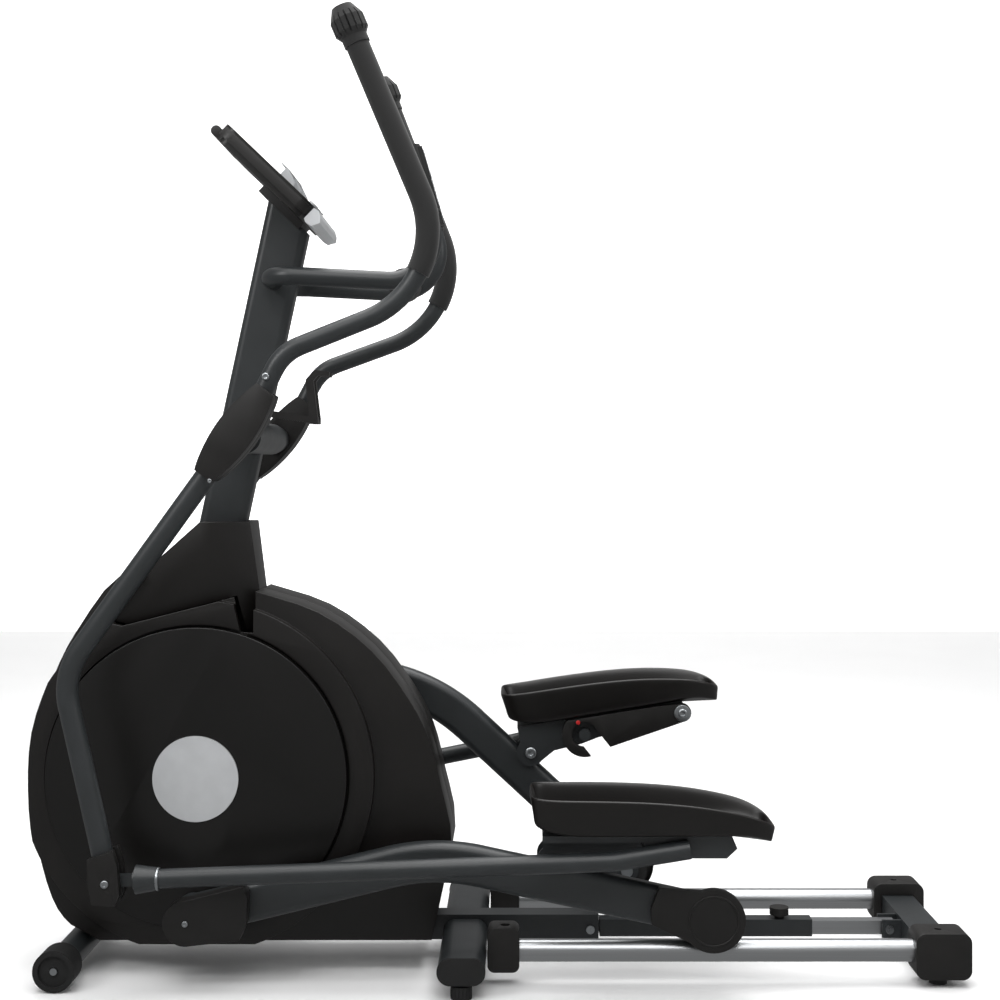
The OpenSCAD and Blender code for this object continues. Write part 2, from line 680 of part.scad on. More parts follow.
// ================= console, handlebar and bottle cage =================
console_x = mast_x(mast_top) - 90.7;
console_z = mast_top + 141;
face_t = 5;
mast_stub = [100, 98, 15];
screen = [16, 92, 150];
rest_x = 118;
rest_w = 170;
key_row = [-40, 0, 40];
key_x = 188;
key_r = 9;
nose_l = 26;
nose_t = 25;
nose_w = 250;
lip_r = 9.3;
lip_w = 216;
// puts a part on the console: x down the face, z out of the face
module on_console() {
    translate([console_x, 0, console_z]) rotate([0, console_tilt, 0]) children();
}
module console_plan(grow) {
    translate([-grow, -console_w / 2 - grow]) rounded(console_l + 2 * grow, console_w + 2 * grow, 26 + grow);
}
module console_back() {
    color("#242424") difference() {
        on_console() difference() {
            union() {
                translate([0, 0, -console_t + 9]) linear_extrude(console_t - 9 - face_t) console_plan(0);
                translate([0, 0, -console_t]) linear_extrude(10) console_plan(-9);
                // rolled lip past the upper edge
                translate([-lip_r, lip_w / 2, -console_t + lip_r]) rotate([90, 0, 0])
                    cylinder(r = lip_r, h = lip_w, $fn = 48);
                translate([-lip_r, -lip_w / 2 + 0.3, -console_t + 0.3])
                    cube([lip_r + 14, lip_w - 0.6, 2 * lip_r - 0.6]);
                translate([mast_stub[0], -mast_w / 2 - 14, -console_t - mast_stub[2]])
                    cube([mast_stub[1], mast_w + 28, mast_stub[2] + 4]);
            }
            translate([0, 0, -console_t + 12]) linear_extrude(console_t) console_plan(-3);
        }
        mast_bar(clear);
    }
}
module console_face() {
    color("#141414") on_console() difference() {
        translate([0, 0, -face_t + clear / 4]) linear_extrude(face_t) console_plan(0);
        translate([screen[0], -screen[2] / 2, -2]) cube([screen[1], screen[2], 10]);
        for (y = key_row) translate([key_x, y, -10]) cylinder(r = key_r + clear, h = 20, $fn = 32);
        translate([rest_x - clear, -rest_w / 2 - clear, -2]) cube([4 + 2 * clear, rest_w + 2 * clear, 4]);
    }
}
module console_key(i) {
    color("#b9babc") on_console() translate([key_x, key_row[i], -4]) {
        cylinder(r = key_r - 3, h = 3, $fn = 32);
        translate([0, 0, 3 - e]) cylinder(r = key_r, h = 7, $fn = 32);
    }
}
module console_trim() {
    color("#c4c6c8") on_console() {
        // page rest, standing up from the face and sloping back to it
        translate([rest_x, -rest_w / 2, -1.8]) cube([4, rest_w, 20]);
        for (y = [-rest_w / 2, -2, rest_w / 2 - 4]) translate([0, y + 4, 0]) rotate([90, 0, 0])
            linear_extrude(4)
                polygon([[rest_x + 3, clear], [rest_x + 32, clear], [rest_x + 30, 8], [rest_x + 3, 18]]);
        translate([rest_x - 12, -rest_w / 2, 16]) cube([13, rest_w, 2.2]);
        // bright nose along the lower edge
        translate([0, nose_w / 2, 0]) rotate([90, 0, 0]) linear_extrude(nose_w)
            translate([console_l, 0]) polygon([[clear, -console_t + 4], [clear, -2], [10, 0],
                [nose_l - 6, -6], [nose_l, -14], [nose_l - 8, -nose_t - 3], [nose_l - 20, -nose_t - 5]]);
    }
}
bar_bend = 75;
// the handlebar crosses the mast, turns back on each side and rises to the pulse grips
bar_corner = 45;
bar_tip = [368, 218];
bar_elbow = [433, -14];
module handlebar() {
    x0 = mast_x(bar_z);
    color("#2c2c2c") {
        across(x0, bar_z, bar_d / 2, -bar_y + bar_corner - bend_lap, bar_y - bar_corner + bend_lap);
        for (s = [left, right]) side(s) {
            translate([x0 + bar_corner, -bar_y + bar_corner, bar_z]) rotate([0, 0, 180])
                rotate_extrude(angle = 90, $fn = 96) translate([bar_corner, 0])
                    circle(r = bar_d / 2 + bend_swell);
            translate([0, -bar_y, 0]) bent_tube([[x0 + bar_corner - bend_lap, bar_z],
                [crank_x + bar_elbow[0], bar_z + bar_elbow[1]], [crank_x + bar_tip[0], bar_z + bar_tip[1]]],
                [0, bar_bend, 0], bar_d / 2);
        }
        across(crank_x + pod_dx, pod_z, 12, -bar_y + bar_d / 4, bar_y - bar_d / 4, 32);
    }
}
pod_dx = 352;
pod_z = bar_z - 6;
module handlebar_pod() {
    color("#202020") difference() {
        union() {
            across(crank_x + pod_dx, pod_z, 28.5, -22, 22);
            for (r = [[26, 24], [19, 25]]) across(crank_x + pod_dx, pod_z, r[0], -r[1], r[1]);
        }
        across(crank_x + pod_dx, pod_z, 12 + clear / 2, -30, 30, 32);
        for (y = [-26, 23.4]) difference() {
            across(crank_x + pod_dx, pod_z, 22.5, y, y + 2.6);
            across(crank_x + pod_dx, pod_z, 19, y - 1, y + 3);
        }
    }
}
module pulse_grips() {
    tip = [crank_x, bar_z] + bar_tip;
    d = unit(bar_tip - bar_elbow);
    color("#191919") for (s = [left, right]) side(s)
        translate([tip[0], -bar_y, tip[1]]) rotate([0, 90 - atan2(d[1], d[0]), 0]) difference() {
            translate([0, 0, -118]) union() {
                cylinder(r = 19, h = 124);
                translate([12, -13, 6]) cube([10, 26, 112]);
            }
            translate([0, 0, -200]) cylinder(r = bar_d / 2 + clear / 4, h = 200 + clear);
        }
}
module bottle_cage() {
    back = mast_x(980) + mast_depth / 2 / cos(mast_lean) + 2;
    front = crank_x + 192;
    color("#161616") for (s = [left, right]) side(s) {
        slab(-24, -14) polygon([[back - 2, 965], [front + 6, 953], [front + 6, 965], [back - 2, 977]]);
        slab(-24, -14) translate([front, 0]) polygon([[6, 953], [6, 963], [-2, 1030], [6, 1040],
            [26, 1038], [27, 1046], [0, 1050], [-16, 1032], [-8, 953]]);
    }
    color("#161616") {
        slab(-14 - e, 14 + e) translate([front, 0]) polygon([[-8, 954], [6, 954], [4, 966], [-9, 966]]);
        slab(-14 - e, 14 + e) translate([back, 0]) polygon([[0, 967], [5, 966], [5, 975], [0, 976]]);
    }
}

// ================= swing arms =================
// bend points of the arm as offsets from its pivot, with the arm at its reference angle
arm_knee = [-286, -394];
lever_bend = [79, 137];
grip_bend = [369, 252];
grip_top = [204.5, 645];
knuckle_ref = lever * [-sin(swing_ref), -cos(swing_ref)];
knee_r = 120;
lever_bend_r = 80;
grip_bend_r = 157;
arm_dir = unit([0, 0] - arm_knee);
// where the lower tube ends and the hand lever carries on, past the pivot
tube_meet = 60;
module swing_arm(s) {
    stop = knuckle_ref + 34 * unit(arm_knee - knuckle_ref);
    color("#2f3133") side(s) on_swing(s) difference() {
        union() {
            translate([0, -arm_y, 0])
                bent_tube([arm_dir * tube_meet, arm_knee, stop], [0, knee_r, 0], lower_tube_d / 2);
            translate([0, -arm_y, 0])
                bent_tube([arm_dir * (tube_meet - bend_lap), lever_bend, grip_bend, grip_top],
                    [0, lever_bend_r, grip_bend_r, 0], upper_tube_d / 2);
            across(0, 0, hub_r, -axle_end_y, -cross_tube_y - 1);
        }
        across(0, 0, axle_r + clear / 2, -300, 0);
    }
}
// foam over the top of the hand lever, with a ribbed rubber knob on its end
grip_low_angle = 42;
module hand_grip(s) {
    color("#1c1c1c") side(s) on_swing(s) translate([0, -arm_y, 0]) difference() {
        foam_run(grip_d / 2, 0);
        foam_run(upper_tube_d / 2 + clear / 2, 5);
    }
}
module foam_run(r, past) {
    in_dir = unit(grip_bend - lever_bend);
    out_dir = unit(grip_top - grip_bend);
    t = turn(in_dir, out_dir);
    set_back = grip_bend_r * tan(t / 2);
    c = grip_bend - in_dir * set_back + grip_bend_r * [-in_dir[1], in_dir[0]];
    straight = grip_bend + out_dir * (set_back - bend_lap);
    from = atan2(-in_dir[0], in_dir[1]) + grip_low_angle - past;
    translate([c[0], 0, c[1]]) rotate([90, 0, 0]) rotate([0, 0, from])
        rotate_extrude(angle = t - grip_low_angle + past, $fn = 96) translate([grip_bend_r, 0])
            circle(r = r + bend_swell);
    translate([straight[0], 0, straight[1]]) rotate([0, 90 - atan2(out_dir[1], out_dir[0]), 0])
        cylinder(r = r, h = norm(grip_top - straight) + past);
}
module grip_knob(s) {
    out_dir = unit(grip_top - grip_bend);
    ribs = 16;
    color("#111111") side(s) on_swing(s) translate([grip_top[0], -arm_y, grip_top[1]])
        rotate([0, 90 - atan2(out_dir[1], out_dir[0]), 0]) difference() {
            rotate_extrude()
                polygon([[0, clear], [22, clear], [22, 14], [29, 24], [29, 46], [18, 68], [0, 72]]);
            for (i = [0:ribs - 1]) rotate([0, 0, i * 360 / ribs])
                translate([24, -1.5, 16]) cube([10, 3, 60]);
        }
}
cover_l = 174;
cover_w = 64;
cover_t = 58;
// two-piece leaf cover over the pivot, seen from the side; u runs along the arm
module leaf(grow) {
    n = 12;
    function half(u) = 17 + (cover_w / 2 - 17) * pow(cos(90 * u / (cover_l / 2)), 0.8) + grow;
    polygon(concat(
        [for (i = [-n:n]) let(u = (cover_l / 2 + grow) * i / n) [u, half(min(abs(u), cover_l / 2))]],
        [for (i = [n:-1:-n]) let(u = (cover_l / 2 + grow) * i / n) [u, -half(min(abs(u), cover_l / 2))]]));
}
module arm_cover(s) {
    lean = atan2(arm_dir[1], arm_dir[0]);
    color("#1e1c1b") side(s) on_swing(s) difference() {
        translate([arm_dir[0] * 6, 0, arm_dir[1] * 6]) rotate([0, -lean, 0]) difference() {
            union() {
                slab(-arm_y - cover_t / 2, -arm_y - 0.2) leaf(0);
                slab(-arm_y + 0.2, -arm_y + cover_t / 2) leaf(0);
            }
            slab(-arm_y - cover_t / 2 + 3, -arm_y + cover_t / 2 - 3) leaf(-3);
            translate([-200, -arm_y, 0]) rotate([0, 90, 0]) cylinder(d = lower_tube_d + clear, h = 400);
        }
        across(0, 0, hub_r + clear, -axle_end_y - clear, -100);
        translate([0, -arm_y, 0]) bent_tube([arm_dir * 50, lever_bend, grip_bend], [0, lever_bend_r, 0],
            upper_tube_d / 2 + clear);
    }
}
module knuckle_cover(s) {
    k = knuckle_ref;
    color("#191919") side(s) on_swing(s) translate([k[0], 0, k[1]]) difference() {
        slab(-arm_y - 26, -arm_y + 25) polygon([[-29, 40], [12, 54], [20, 30], [24, -20], [16, -37],
            [-22, -34], [-28, 0]]);
        translate([0, -arm_y, 0]) rotate([0, atan2(arm_knee[0] - k[0], arm_knee[1] - k[1]), 0])
            translate([0, 0, 34 - clear]) cylinder(d = lower_tube_d + clear, h = 100);
        // slot for the tongue of the pedal tube
        slab(-arm_y - 10, -arm_y + 10) square([200, 400], center = true);
        across(0, 0, 6, -arm_y - 40, -arm_y + 40, 32);
    }
}

// ================= pedal tubes and pedals =================
link_end = link_len + 226;
module pedal_link(s) {
    color("#2f3133") side(s) on_link(s) {
        difference() {
            union() {
                // tongue and pin in the knuckle
                slab(-arm_y - 9, -arm_y + 9) union() {
                    circle(r = 15);
                    translate([0, -9]) square([44, 18]);
                }
                translate([0, -arm_y, 0])
                    bent_tube([[42, 0], [link_len + 100, 8], [link_end, 25]], [0, 150, 0], pedal_tube_d / 2);
            }
            across(0, 0, 5.8, -arm_y - 40, -arm_y + 40, 32);
        }
        across(0, 0, 5.7, -arm_y - 25, -arm_y + 24, 32);
    }
    color("#191919") side(s) on_link(s) translate([boot_start, -arm_y, 0.2]) rotate([0, 90, 0]) difference() {
        cylinder(r1 = 24, r2 = 19, h = 34);
        translate([0, 0, -1]) cylinder(d = pedal_tube_d + 2 * clear, h = 40);
    }
}
boot_start = 46;
plate_t = 5.5;
cheek_r = 26;
bracket_up = 46;
bracket_y0 = rail_y - arm_w / 2 - 8;
bracket_y1 = rail_y + arm_w / 2 + 8;
bracket_end_y = arm_y - 9;
latch_bar = [106, 17];
latch_pin = [293, 23];
module pedal_bracket(s) {
    color("#26282a") side(s) on_link(s) translate([link_len, 0, 0]) {
        difference() {
            union() {
                // plate under the pedal, with cheeks either side of the roller arm
                slab(-bracket_end_y, -bracket_y0) polygon([[-16, bracket_up - 6], [294, bracket_up - 14],
                    [294, bracket_up + 20], [-16, bracket_up + 20]]);
                for (y = [-bracket_y1, -bracket_y0 - plate_t]) slab(y, y + plate_t) cheek();
                // tail out to the side of the pedal tube
                slab(-bracket_end_y, -bracket_y1 + e) tail();
            }
            slab(-300, 0) under_pedal();
        }
        // bolt heads at the pedal pivot
        bolt_head(0, 0, -bracket_y1 - 5, -bracket_y1 + e, 17);
        bolt_head(0, 0, -bracket_y0 - e, -bracket_y0 + 5, 17);
        // cross bar that the latch hooks over
        across(latch_bar[0], latch_bar[1], 11, -bracket_y1 + 1, -bracket_y0 + 24);
        across(latch_pin[0], latch_pin[1], 7.8, -bracket_y1 + 1, -bracket_y0 + 24, 32);
    }
}
// all that lies over the underside of the pedal
module under_pedal() {
    translate([pedal_dx, pedal_up - clear]) rotate(-pedal_tilt) square([pedal_l, 100]);
}
module cheek() {
    circle(r = cheek_r);
    polygon([[-16, 18], [18, -19], [44, -5], [98, -2], [130, 4], [310, 12], [294, bracket_up + 1],
        [-16, bracket_up + 1]]);
}
module tail() {
    polygon([[150, 24], [220, 8], [288, 6], [306, 22], [294, bracket_up + plate_t],
        [150, bracket_up + plate_t]]);
}
// hooked lever that locks the pedal bracket to its cross bar
module pedal_latch(s) {
    y0 = -bracket_y0 + 6;
    y1 = -bracket_y0 + 20;
    color("#171717") side(s) on_link(s) translate([link_len, 0, 0]) difference() {
        union() {
            across(latch_bar[0], latch_bar[1], 42, y0, y1);
            slab(y0 + 0.3, y1 - 0.3) polygon([latch_bar + [14, 39], latch_pin + [0, 16.5],
                latch_pin + [4, -16.4], latch_bar + [26, -34]]);
            across(latch_pin[0], latch_pin[1], 17, y0, y1);
        }
        across(latch_pin[0], latch_pin[1], 8, y0 - 1, y1 + 1);
        across(latch_bar[0], latch_bar[1], 24, y0 - 1, y1 + 1);
        // mouth of the hook, facing down and back
        slab(y0 - 1, y1 + 1) translate(latch_bar) rotate(-62) translate([0, -16]) square([80, 39]);
        slab(y0 - 1, y1 + 1) under_pedal();
    }
}
pedal_dx = -34;
pedal_up = 52;
pedal_tilt = 1.6;
module pedal_side(grow) {
    polygon([[grow, 8 + grow], [14, grow], [pedal_l - 60, grow], [pedal_l - 42, 3 + grow],
        [pedal_l - 14, -7 + grow], [pedal_l - grow, -8 + grow], [pedal_l - grow, 0],
        [pedal_l - 14, 20], [pedal_l - 38, 30],
        [pedal_l - 120, pedal_h - 10], [pedal_l - 180, pedal_h - 2], [pedal_l - 250, pedal_h],
        [pedal_l - 320, pedal_h], [28, pedal_h + 4], [grow, pedal_h + 12]]);
}
module pedal_plan(grow) {
    offset(delta = -grow) polygon([[0, 44], [26, 8], [70, 0], [pedal_l - 60, 0], [pedal_l - 20, 14],
        [pedal_l, 46], [pedal_l, pedal_w - 46], [pedal_l - 20, pedal_w - 14], [pedal_l - 60, pedal_w],
        [70, pedal_w], [26, pedal_w - 8], [0, pedal_w - 44]]);
}
module pedal(s) {
    color("#1d1a19") side(s) on_link(s) translate([link_len + pedal_dx, -pedal_in_y - pedal_w, pedal_up])
        rotate([0, pedal_tilt, 0]) difference() {
            intersection() {
                translate([0, pedal_w, 0]) rotate([90, 0, 0]) linear_extrude(pedal_w) pedal_side(0);
                translate([0, 0, -40]) linear_extrude(200) pedal_plan(0);
            }
            difference() {
                translate([0, 0, 9]) linear_extrude(100) pedal_plan(pedal_wall);
                translate([pedal_l - 58, -1, -20]) rotate([0, -24, 0]) cube([100, 200, 40]);
            }
        }
}

// ================= roller arms =================
module arm_section(w, d) {
    translate([-w / 2, -d / 2]) rounded(w, d, 14);
}
module arched_run(a, b) {
    v = b - a;
    translate([a[0], -rail_y, a[1]]) rotate([0, 90 - atan2(v[1], v[0]), 0])
        linear_extrude(norm(v)) rotate(90) arm_section(arm_w, arm_depth);
}
module arched_tube() {
    bend = [arm_bend_x, arm_bend_up];
    d1 = unit(bend);
    d2 = unit([arm_len, 0] - bend);
    t = turn(d1, d2);
    r = 340;
    cut = r * tan(abs(t) / 2);
    a = bend - d1 * cut;
    b = bend + d2 * cut;
    c = a + r * [d1[1], -d1[0]];
    arched_run(d1 * 14, a + d1 * bend_lap);
    arched_run(b - d2 * bend_lap, [arm_len, 0] - d2 * 50);
    translate([c[0], -rail_y, c[1]]) rotate([90, 0, 0]) rotate([0, 0, atan2(d1[0], -d1[1]) + t])
        rotate_extrude(angle = abs(t), $fn = 96) translate([r, 0])
            arm_section(arm_depth + 2 * bend_swell, arm_w + 2 * bend_swell);
}
// inner end of the boss on the crank pin, just clear of the boss on the disc
pin_face_y = disc_face_y + 9;
module roller_arm(s) {
    lug = [hinge_along, hinge_up];
    color("#2f3133") side(s) on_arm(s) difference() {
        union() {
            arched_tube();
            across(0, 0, 32, -rail_y - arm_w / 2 + 0.3, -pin_face_y);
            // lug under the pedal pivot
            across(lug[0], lug[1], 20, -rail_y - 12, -rail_y + 12);
            slab(-rail_y - 12, -rail_y + 12) translate([lug[0] - 19, lug[1] - 60]) square([38, 60]);
            // fork over the roller
            for (y = [-rail_y - arm_w / 2 + 0.5, -rail_y + arm_w / 2 - 5]) slab(y, y + 4.5) {
                translate([arm_len, 0]) circle(r = 22);
                polygon([[arm_len - 75, -14], [arm_len, -22], [arm_len, 22], [arm_len - 75, 48]]);
            }
        }
        across(0, 0, 16, -rail_y - 60, -rail_y + 60);
        across(lug[0], lug[1], 9, -rail_y - 30, -rail_y + 30, 32);
        across(arm_len, 0, 8.2, -rail_y - 60, -rail_y + 60, 32);
    }
}
module crank_pin(s) {
    color("silver") side(s) on_arm(s) {
        across(0, 0, 15.8, -rail_y - arm_w / 2 - 8, -pin_face_y - 2);
        across(0, 0, 19, -rail_y - arm_w / 2 - 14, -rail_y - arm_w / 2 - 8 + e, 6);
    }
}
boot_y = rail_y + 53;
// plastic boot over the crank pin end of the arm
module pin_boot(s) {
    color("#191817") side(s) on_arm(s) difference() {
        slab(-boot_y, -rail_y - arm_w / 2 - clear) boot_side(0);
        slab(-boot_y + 3, -rail_y) boot_side(-3);
    }
}
module boot_side(grow) {
    circle(r = 38 + grow);
    polygon([[0, 38 + grow], [96 + grow, 62 + grow], [104 + grow, 44], [102 + grow, 0],
        [90 + grow, -28 - grow / 2], [0, -38 - grow]]);
}
module roller(s) {
    color("#3b3b3b") side(s) on_arm(s) difference() {
        across(arm_len, 0, roller_r, -rail_y - roller_w / 2, -rail_y + roller_w / 2, 96);
        across(arm_len, 0, 8.2, -rail_y - 40, -rail_y + 40, 32);
    }
}
module roller_axle(s) {
    color("silver") side(s) on_arm(s) {
        across(arm_len, 0, 8, -rail_y - arm_w / 2 - 6, -rail_y + arm_w / 2 + 6, 32);
        for (y = [-rail_y - arm_w / 2 - 7 + e, -rail_y + arm_w / 2 + clear])
            across(arm_len, 0, 11, y, y + 7, 32);
    }
}
guard_y = rail_y + 34;
// round plastic guard beside the roller, carried down the outer side of the rail
module roller_guard(s) {
    color("#161616") side(s) on_arm(s) difference() {
        slab(-guard_y, -rail_y - arm_w / 2 - clear) {
            translate([arm_len, 0]) circle(r = guard_r);
            polygon([[arm_len - 104, -6], [arm_len - 20, -guard_r + 8], [arm_len + 10, guard_r - 6],
                [arm_len - 92, 56], [arm_len - 106, 20]]);
        }
        slab(-guard_y + 3, -rail_y) {
            translate([arm_len, 0]) circle(r = guard_r - 3);
            polygon([[arm_len - 100, -4], [arm_len - 20, -guard_r + 12], [arm_len + 10, guard_r - 10],
                [arm_len - 90, 52], [arm_len - 102, 20]]);
        }
    }
}

// ---- groups that ride together on one arm ----
module grip(s) {
    hand_grip(s);
    grip_knob(s);
}
module pedal_frame(s) {
    pedal_link(s);
    pedal_bracket(s);
}
module arm_covers(s) {
    arm_cover(s);
    knuckle_cover(s);
}
module arm_pins(s) {
    crank_pin(s);
    roller_axle(s);
}
module arm_guards(s) {
    pin_boot(s);
    roller_guard(s);
}

main_beam();
mast();
swing_axle();
bolts();
front_stabiliser();
middle_stabiliser();
stabiliser_caps();
levelling_feet();
rails();
front_rail_caps();
rear_caps();
rear_stabiliser();
strut_outer();
strut_inner();
strut_knob();
shroud();
crank_bearings();
crank_axle();
hub_caps();
drive_pulley();
belt();
flywheel();
magnet_yoke();
brake_motor();
console_back();
console_face();
console_trim();
handlebar();
handlebar_pod();
pulse_grips();
bottle_cage();
console_key(0);  // key_down
console_key(1);  // key_start
console_key(2);  // key_up
side_shell(left);  // left_shell
crank_disc(left);  // left_crank_disc
transport_wheel(left);  // left_transport_wheel
swing_arm(left);  // left_swing_arm
grip(left);  // left_grip
arm_covers(left);  // left_arm_covers
pedal_frame(left);  // left_pedal_link
pedal(left);  // left_pedal
pedal_latch(left);  // left_latch
roller_arm(left);  // left_roller_arm
arm_pins(left);  // left_arm_pins
roller(left);  // left_roller
arm_guards(left);  // left_arm_guards
side_shell(right);  // right_shell
crank_disc(right);  // right_crank_disc
transport_wheel(right);  // right_transport_wheel
swing_arm(right);  // right_swing_arm
grip(right);  // right_grip
arm_covers(right);  // right_arm_covers
pedal_frame(right);  // right_pedal_link
pedal(right);  // right_pedal
pedal_latch(right);  // right_latch
roller_arm(right);  // right_roller_arm
arm_pins(right);  // right_arm_pins
roller(right);  // right_roller
arm_guards(right);  // right_arm_guards
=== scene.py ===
import json
import math

import bpy
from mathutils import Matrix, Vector


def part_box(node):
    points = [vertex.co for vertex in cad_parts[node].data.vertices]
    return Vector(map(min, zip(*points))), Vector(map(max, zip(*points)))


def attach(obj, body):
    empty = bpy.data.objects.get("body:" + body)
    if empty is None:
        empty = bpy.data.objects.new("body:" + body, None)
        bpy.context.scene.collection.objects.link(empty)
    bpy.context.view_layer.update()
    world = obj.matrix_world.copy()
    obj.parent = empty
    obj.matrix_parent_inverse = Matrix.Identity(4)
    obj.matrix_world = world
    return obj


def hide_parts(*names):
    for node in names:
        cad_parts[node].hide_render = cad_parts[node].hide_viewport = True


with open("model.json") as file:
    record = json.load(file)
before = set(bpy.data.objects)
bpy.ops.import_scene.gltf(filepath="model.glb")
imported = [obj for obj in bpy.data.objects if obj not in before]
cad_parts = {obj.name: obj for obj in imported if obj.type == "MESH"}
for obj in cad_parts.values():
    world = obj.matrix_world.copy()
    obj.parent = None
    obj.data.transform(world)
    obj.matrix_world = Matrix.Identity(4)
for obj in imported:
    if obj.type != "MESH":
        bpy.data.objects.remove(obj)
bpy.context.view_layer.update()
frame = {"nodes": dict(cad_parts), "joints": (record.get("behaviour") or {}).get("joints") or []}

node_objects = frame["nodes"]

# ---------------------------------------------------------------------------
# The studio: a pale floor under soft boxes, and a camera level with the housing top.
# The machine stands side on, its nose to the left. The floor and the sky are both near white.
camera_back = 2.872
camera_height = 0.885
camera_along = 0.0405
bpy.ops.object.camera_add(
    location=(camera_along, -camera_back, camera_height),
    rotation=(math.radians(90), 0, 0),
)
camera = bpy.context.object
camera.data.lens = 57.4
camera.data.sensor_width = 36
camera.data.shift_x = -0.017
camera.data.shift_y = -0.038
camera.data.clip_end = 60
bpy.context.scene.camera = camera


def linear(code):
    """Turns an sRGB hex colour into the linear values that a shader takes."""
    parts = [int(code[i:i + 2], 16) / 255 for i in (1, 3, 5)]
    return [p / 12.92 if p <= 0.04045 else ((p + 0.055) / 1.055) ** 2.4 for p in parts] + [1]


def add(tree, kind, settings=None, values=None, links=None):
    """Adds one node, sets its properties and sockets, and joins its inputs to other outputs."""
    node = tree.nodes.new(kind)
    for name, value in (settings or {}).items():
        setattr(node, name, value)
    for name, value in (values or {}).items():
        node.inputs[name].default_value = value
    for name, output in (links or {}).items():
        tree.links.new(output, node.inputs[name])
    return node


def new_finish(name):
    """Starts a material and returns it with its tree, its shader and its object coordinates."""
    material = bpy.data.materials.new(name)
    material.use_nodes = True
    tree = material.node_tree
    shader = tree.nodes["Principled BSDF"]
    place = add(tree, "ShaderNodeTexCoord")
    return material, tree, shader, place.outputs["Object"]


floor_paint, tree, shader, place = new_finish("painted_floor")
scuffs = add(
    tree, "ShaderNodeTexNoise", values={"Scale": 3.0, "Detail": 4.0}, links={"Vector": place},
)
shade = add(
    tree, "ShaderNodeMix", {"data_type": "RGBA"},
    links={"Factor": scuffs.outputs["Fac"]},
)
shade.inputs["A"].default_value = linear("#F6F6F6")
shade.inputs["B"].default_value = linear("#FAFAFA")
tree.links.new(shade.outputs["Result"], shader.inputs["Base Color"])
shader.inputs["Roughness"].default_value = 0.6
floor_width = 30
below_the_feet = -0.001
bpy.ops.mesh.primitive_plane_add(size=floor_width, location=(0, 0, below_the_feet))
floor = bpy.context.object
floor.name = "studio_floor"
floor.data.materials.append(floor_paint)
floor.visible_glossy = False

backdrop_paper, tree, shader, place = new_finish("lit_backdrop_paper")
cloud = add(tree, "ShaderNodeTexNoise", values={"Scale": 0.6}, links={"Vector": place})
glow = add(
    tree, "ShaderNodeMapRange", values={"To Min": 0.98, "To Max": 1.0},
    links={"Value": cloud.outputs["Fac"]},
)
shader.inputs["Base Color"].default_value = linear("#FFFFFF")
shader.inputs["Emission Color"].default_value = linear("#FFFFFF")
tree.links.new(glow.outputs["Result"], shader.inputs["Emission Strength"])
backdrop_width = 14
backdrop_back = 5.5
bpy.ops.mesh.primitive_plane_add(
    size=backdrop_width, location=(0, backdrop_back, backdrop_width / 2 - 0.1),
    rotation=(math.radians(90), 0, 0),
)
backdrop = bpy.context.object
backdrop.name = "studio_backdrop"
backdrop.data.materials.append(backdrop_paper)
backdrop.visible_glossy = False

sky = bpy.data.worlds.new("studio_sky")
sky.use_nodes = True
sky.node_tree.nodes["Background"].inputs["Color"].default_value = linear("#FFFFFF")
sky.node_tree.nodes["Background"].inputs["Strength"].default_value = 0.24
bpy.context.scene.world = sky
bpy.context.scene.view_settings.view_transform = "Standard"

soft_boxes = (  # name, place, turn, width and power in watts
    ("box_overhead", (0.0, 0.4, 3.6), (0, 0, 0), 3.4, 150),
    ("box_left", (-2.4, -2.2, 2.6), (math.radians(52), 0, math.radians(-48)), 1.1, 34),
    ("box_right", (2.9, -1.6, 2.2), (math.radians(58), 0, math.radians(60)), 1.0, 16),
    ("box_floor", (0.0, -2.6, 3.0), (math.radians(10), 0, 0), 2.4, 50),
)
for name, spot, turn, size, power in soft_boxes:
    bpy.ops.object.light_add(type="AREA", location=spot, rotation=turn)
    lamp = bpy.context.object
    lamp.name = name
    lamp.data.size = size
    lamp.data.energy = power


# ---------------------------------------------------------------------------
# The frame: welded steel beams and tubes in a dark grey powder coat, baked on.
# The coat's orange peel shows as a soft broken highlight along each tube.
def bump_from(tree, height, depth_mm, shader):
    """Feeds a height pattern to the shader as a bump of the given depth."""
    bump = add(
        tree, "ShaderNodeBump",
        values={"Strength": 0.6, "Distance": depth_mm / 1000},
        links={"Height": height},
    )
    tree.links.new(bump.outputs["Normal"], shader.inputs["Normal"])


def mottled(tree, place, shader, colours, roughness, patch_mm, grain_mm, depth_mm):
    """Slow patches vary colour and gloss, and a fine grain makes the bump."""
    patches = add(
        tree, "ShaderNodeTexNoise",
        values={"Scale": 1000 / patch_mm, "Detail": 3.0}, links={"Vector": place},
    )
    blend = add(
        tree, "ShaderNodeMix", {"data_type": "RGBA"}, links={"Factor": patches.outputs["Fac"]},
    )
    blend.inputs["A"].default_value = linear(colours[0])
    blend.inputs["B"].default_value = linear(colours[1])
    tree.links.new(blend.outputs["Result"], shader.inputs["Base Color"])
    gloss = add(
        tree, "ShaderNodeMapRange",
        values={"To Min": roughness[0], "To Max": roughness[1]},
        links={"Value": patches.outputs["Fac"]},
    )
    tree.links.new(gloss.outputs["Result"], shader.inputs["Roughness"])
    grain = add(
        tree, "ShaderNodeTexNoise",
        values={"Scale": 1000 / grain_mm, "Detail": 2.0}, links={"Vector": place},
    )
    bump_from(tree, grain.outputs["Fac"], depth_mm, shader)


def finish_nodes(material, *names):
    """Gives carried-over nodes their material."""
    for name in names:
        slots = node_objects[name].data.materials
        slots.clear()
        slots.append(material)


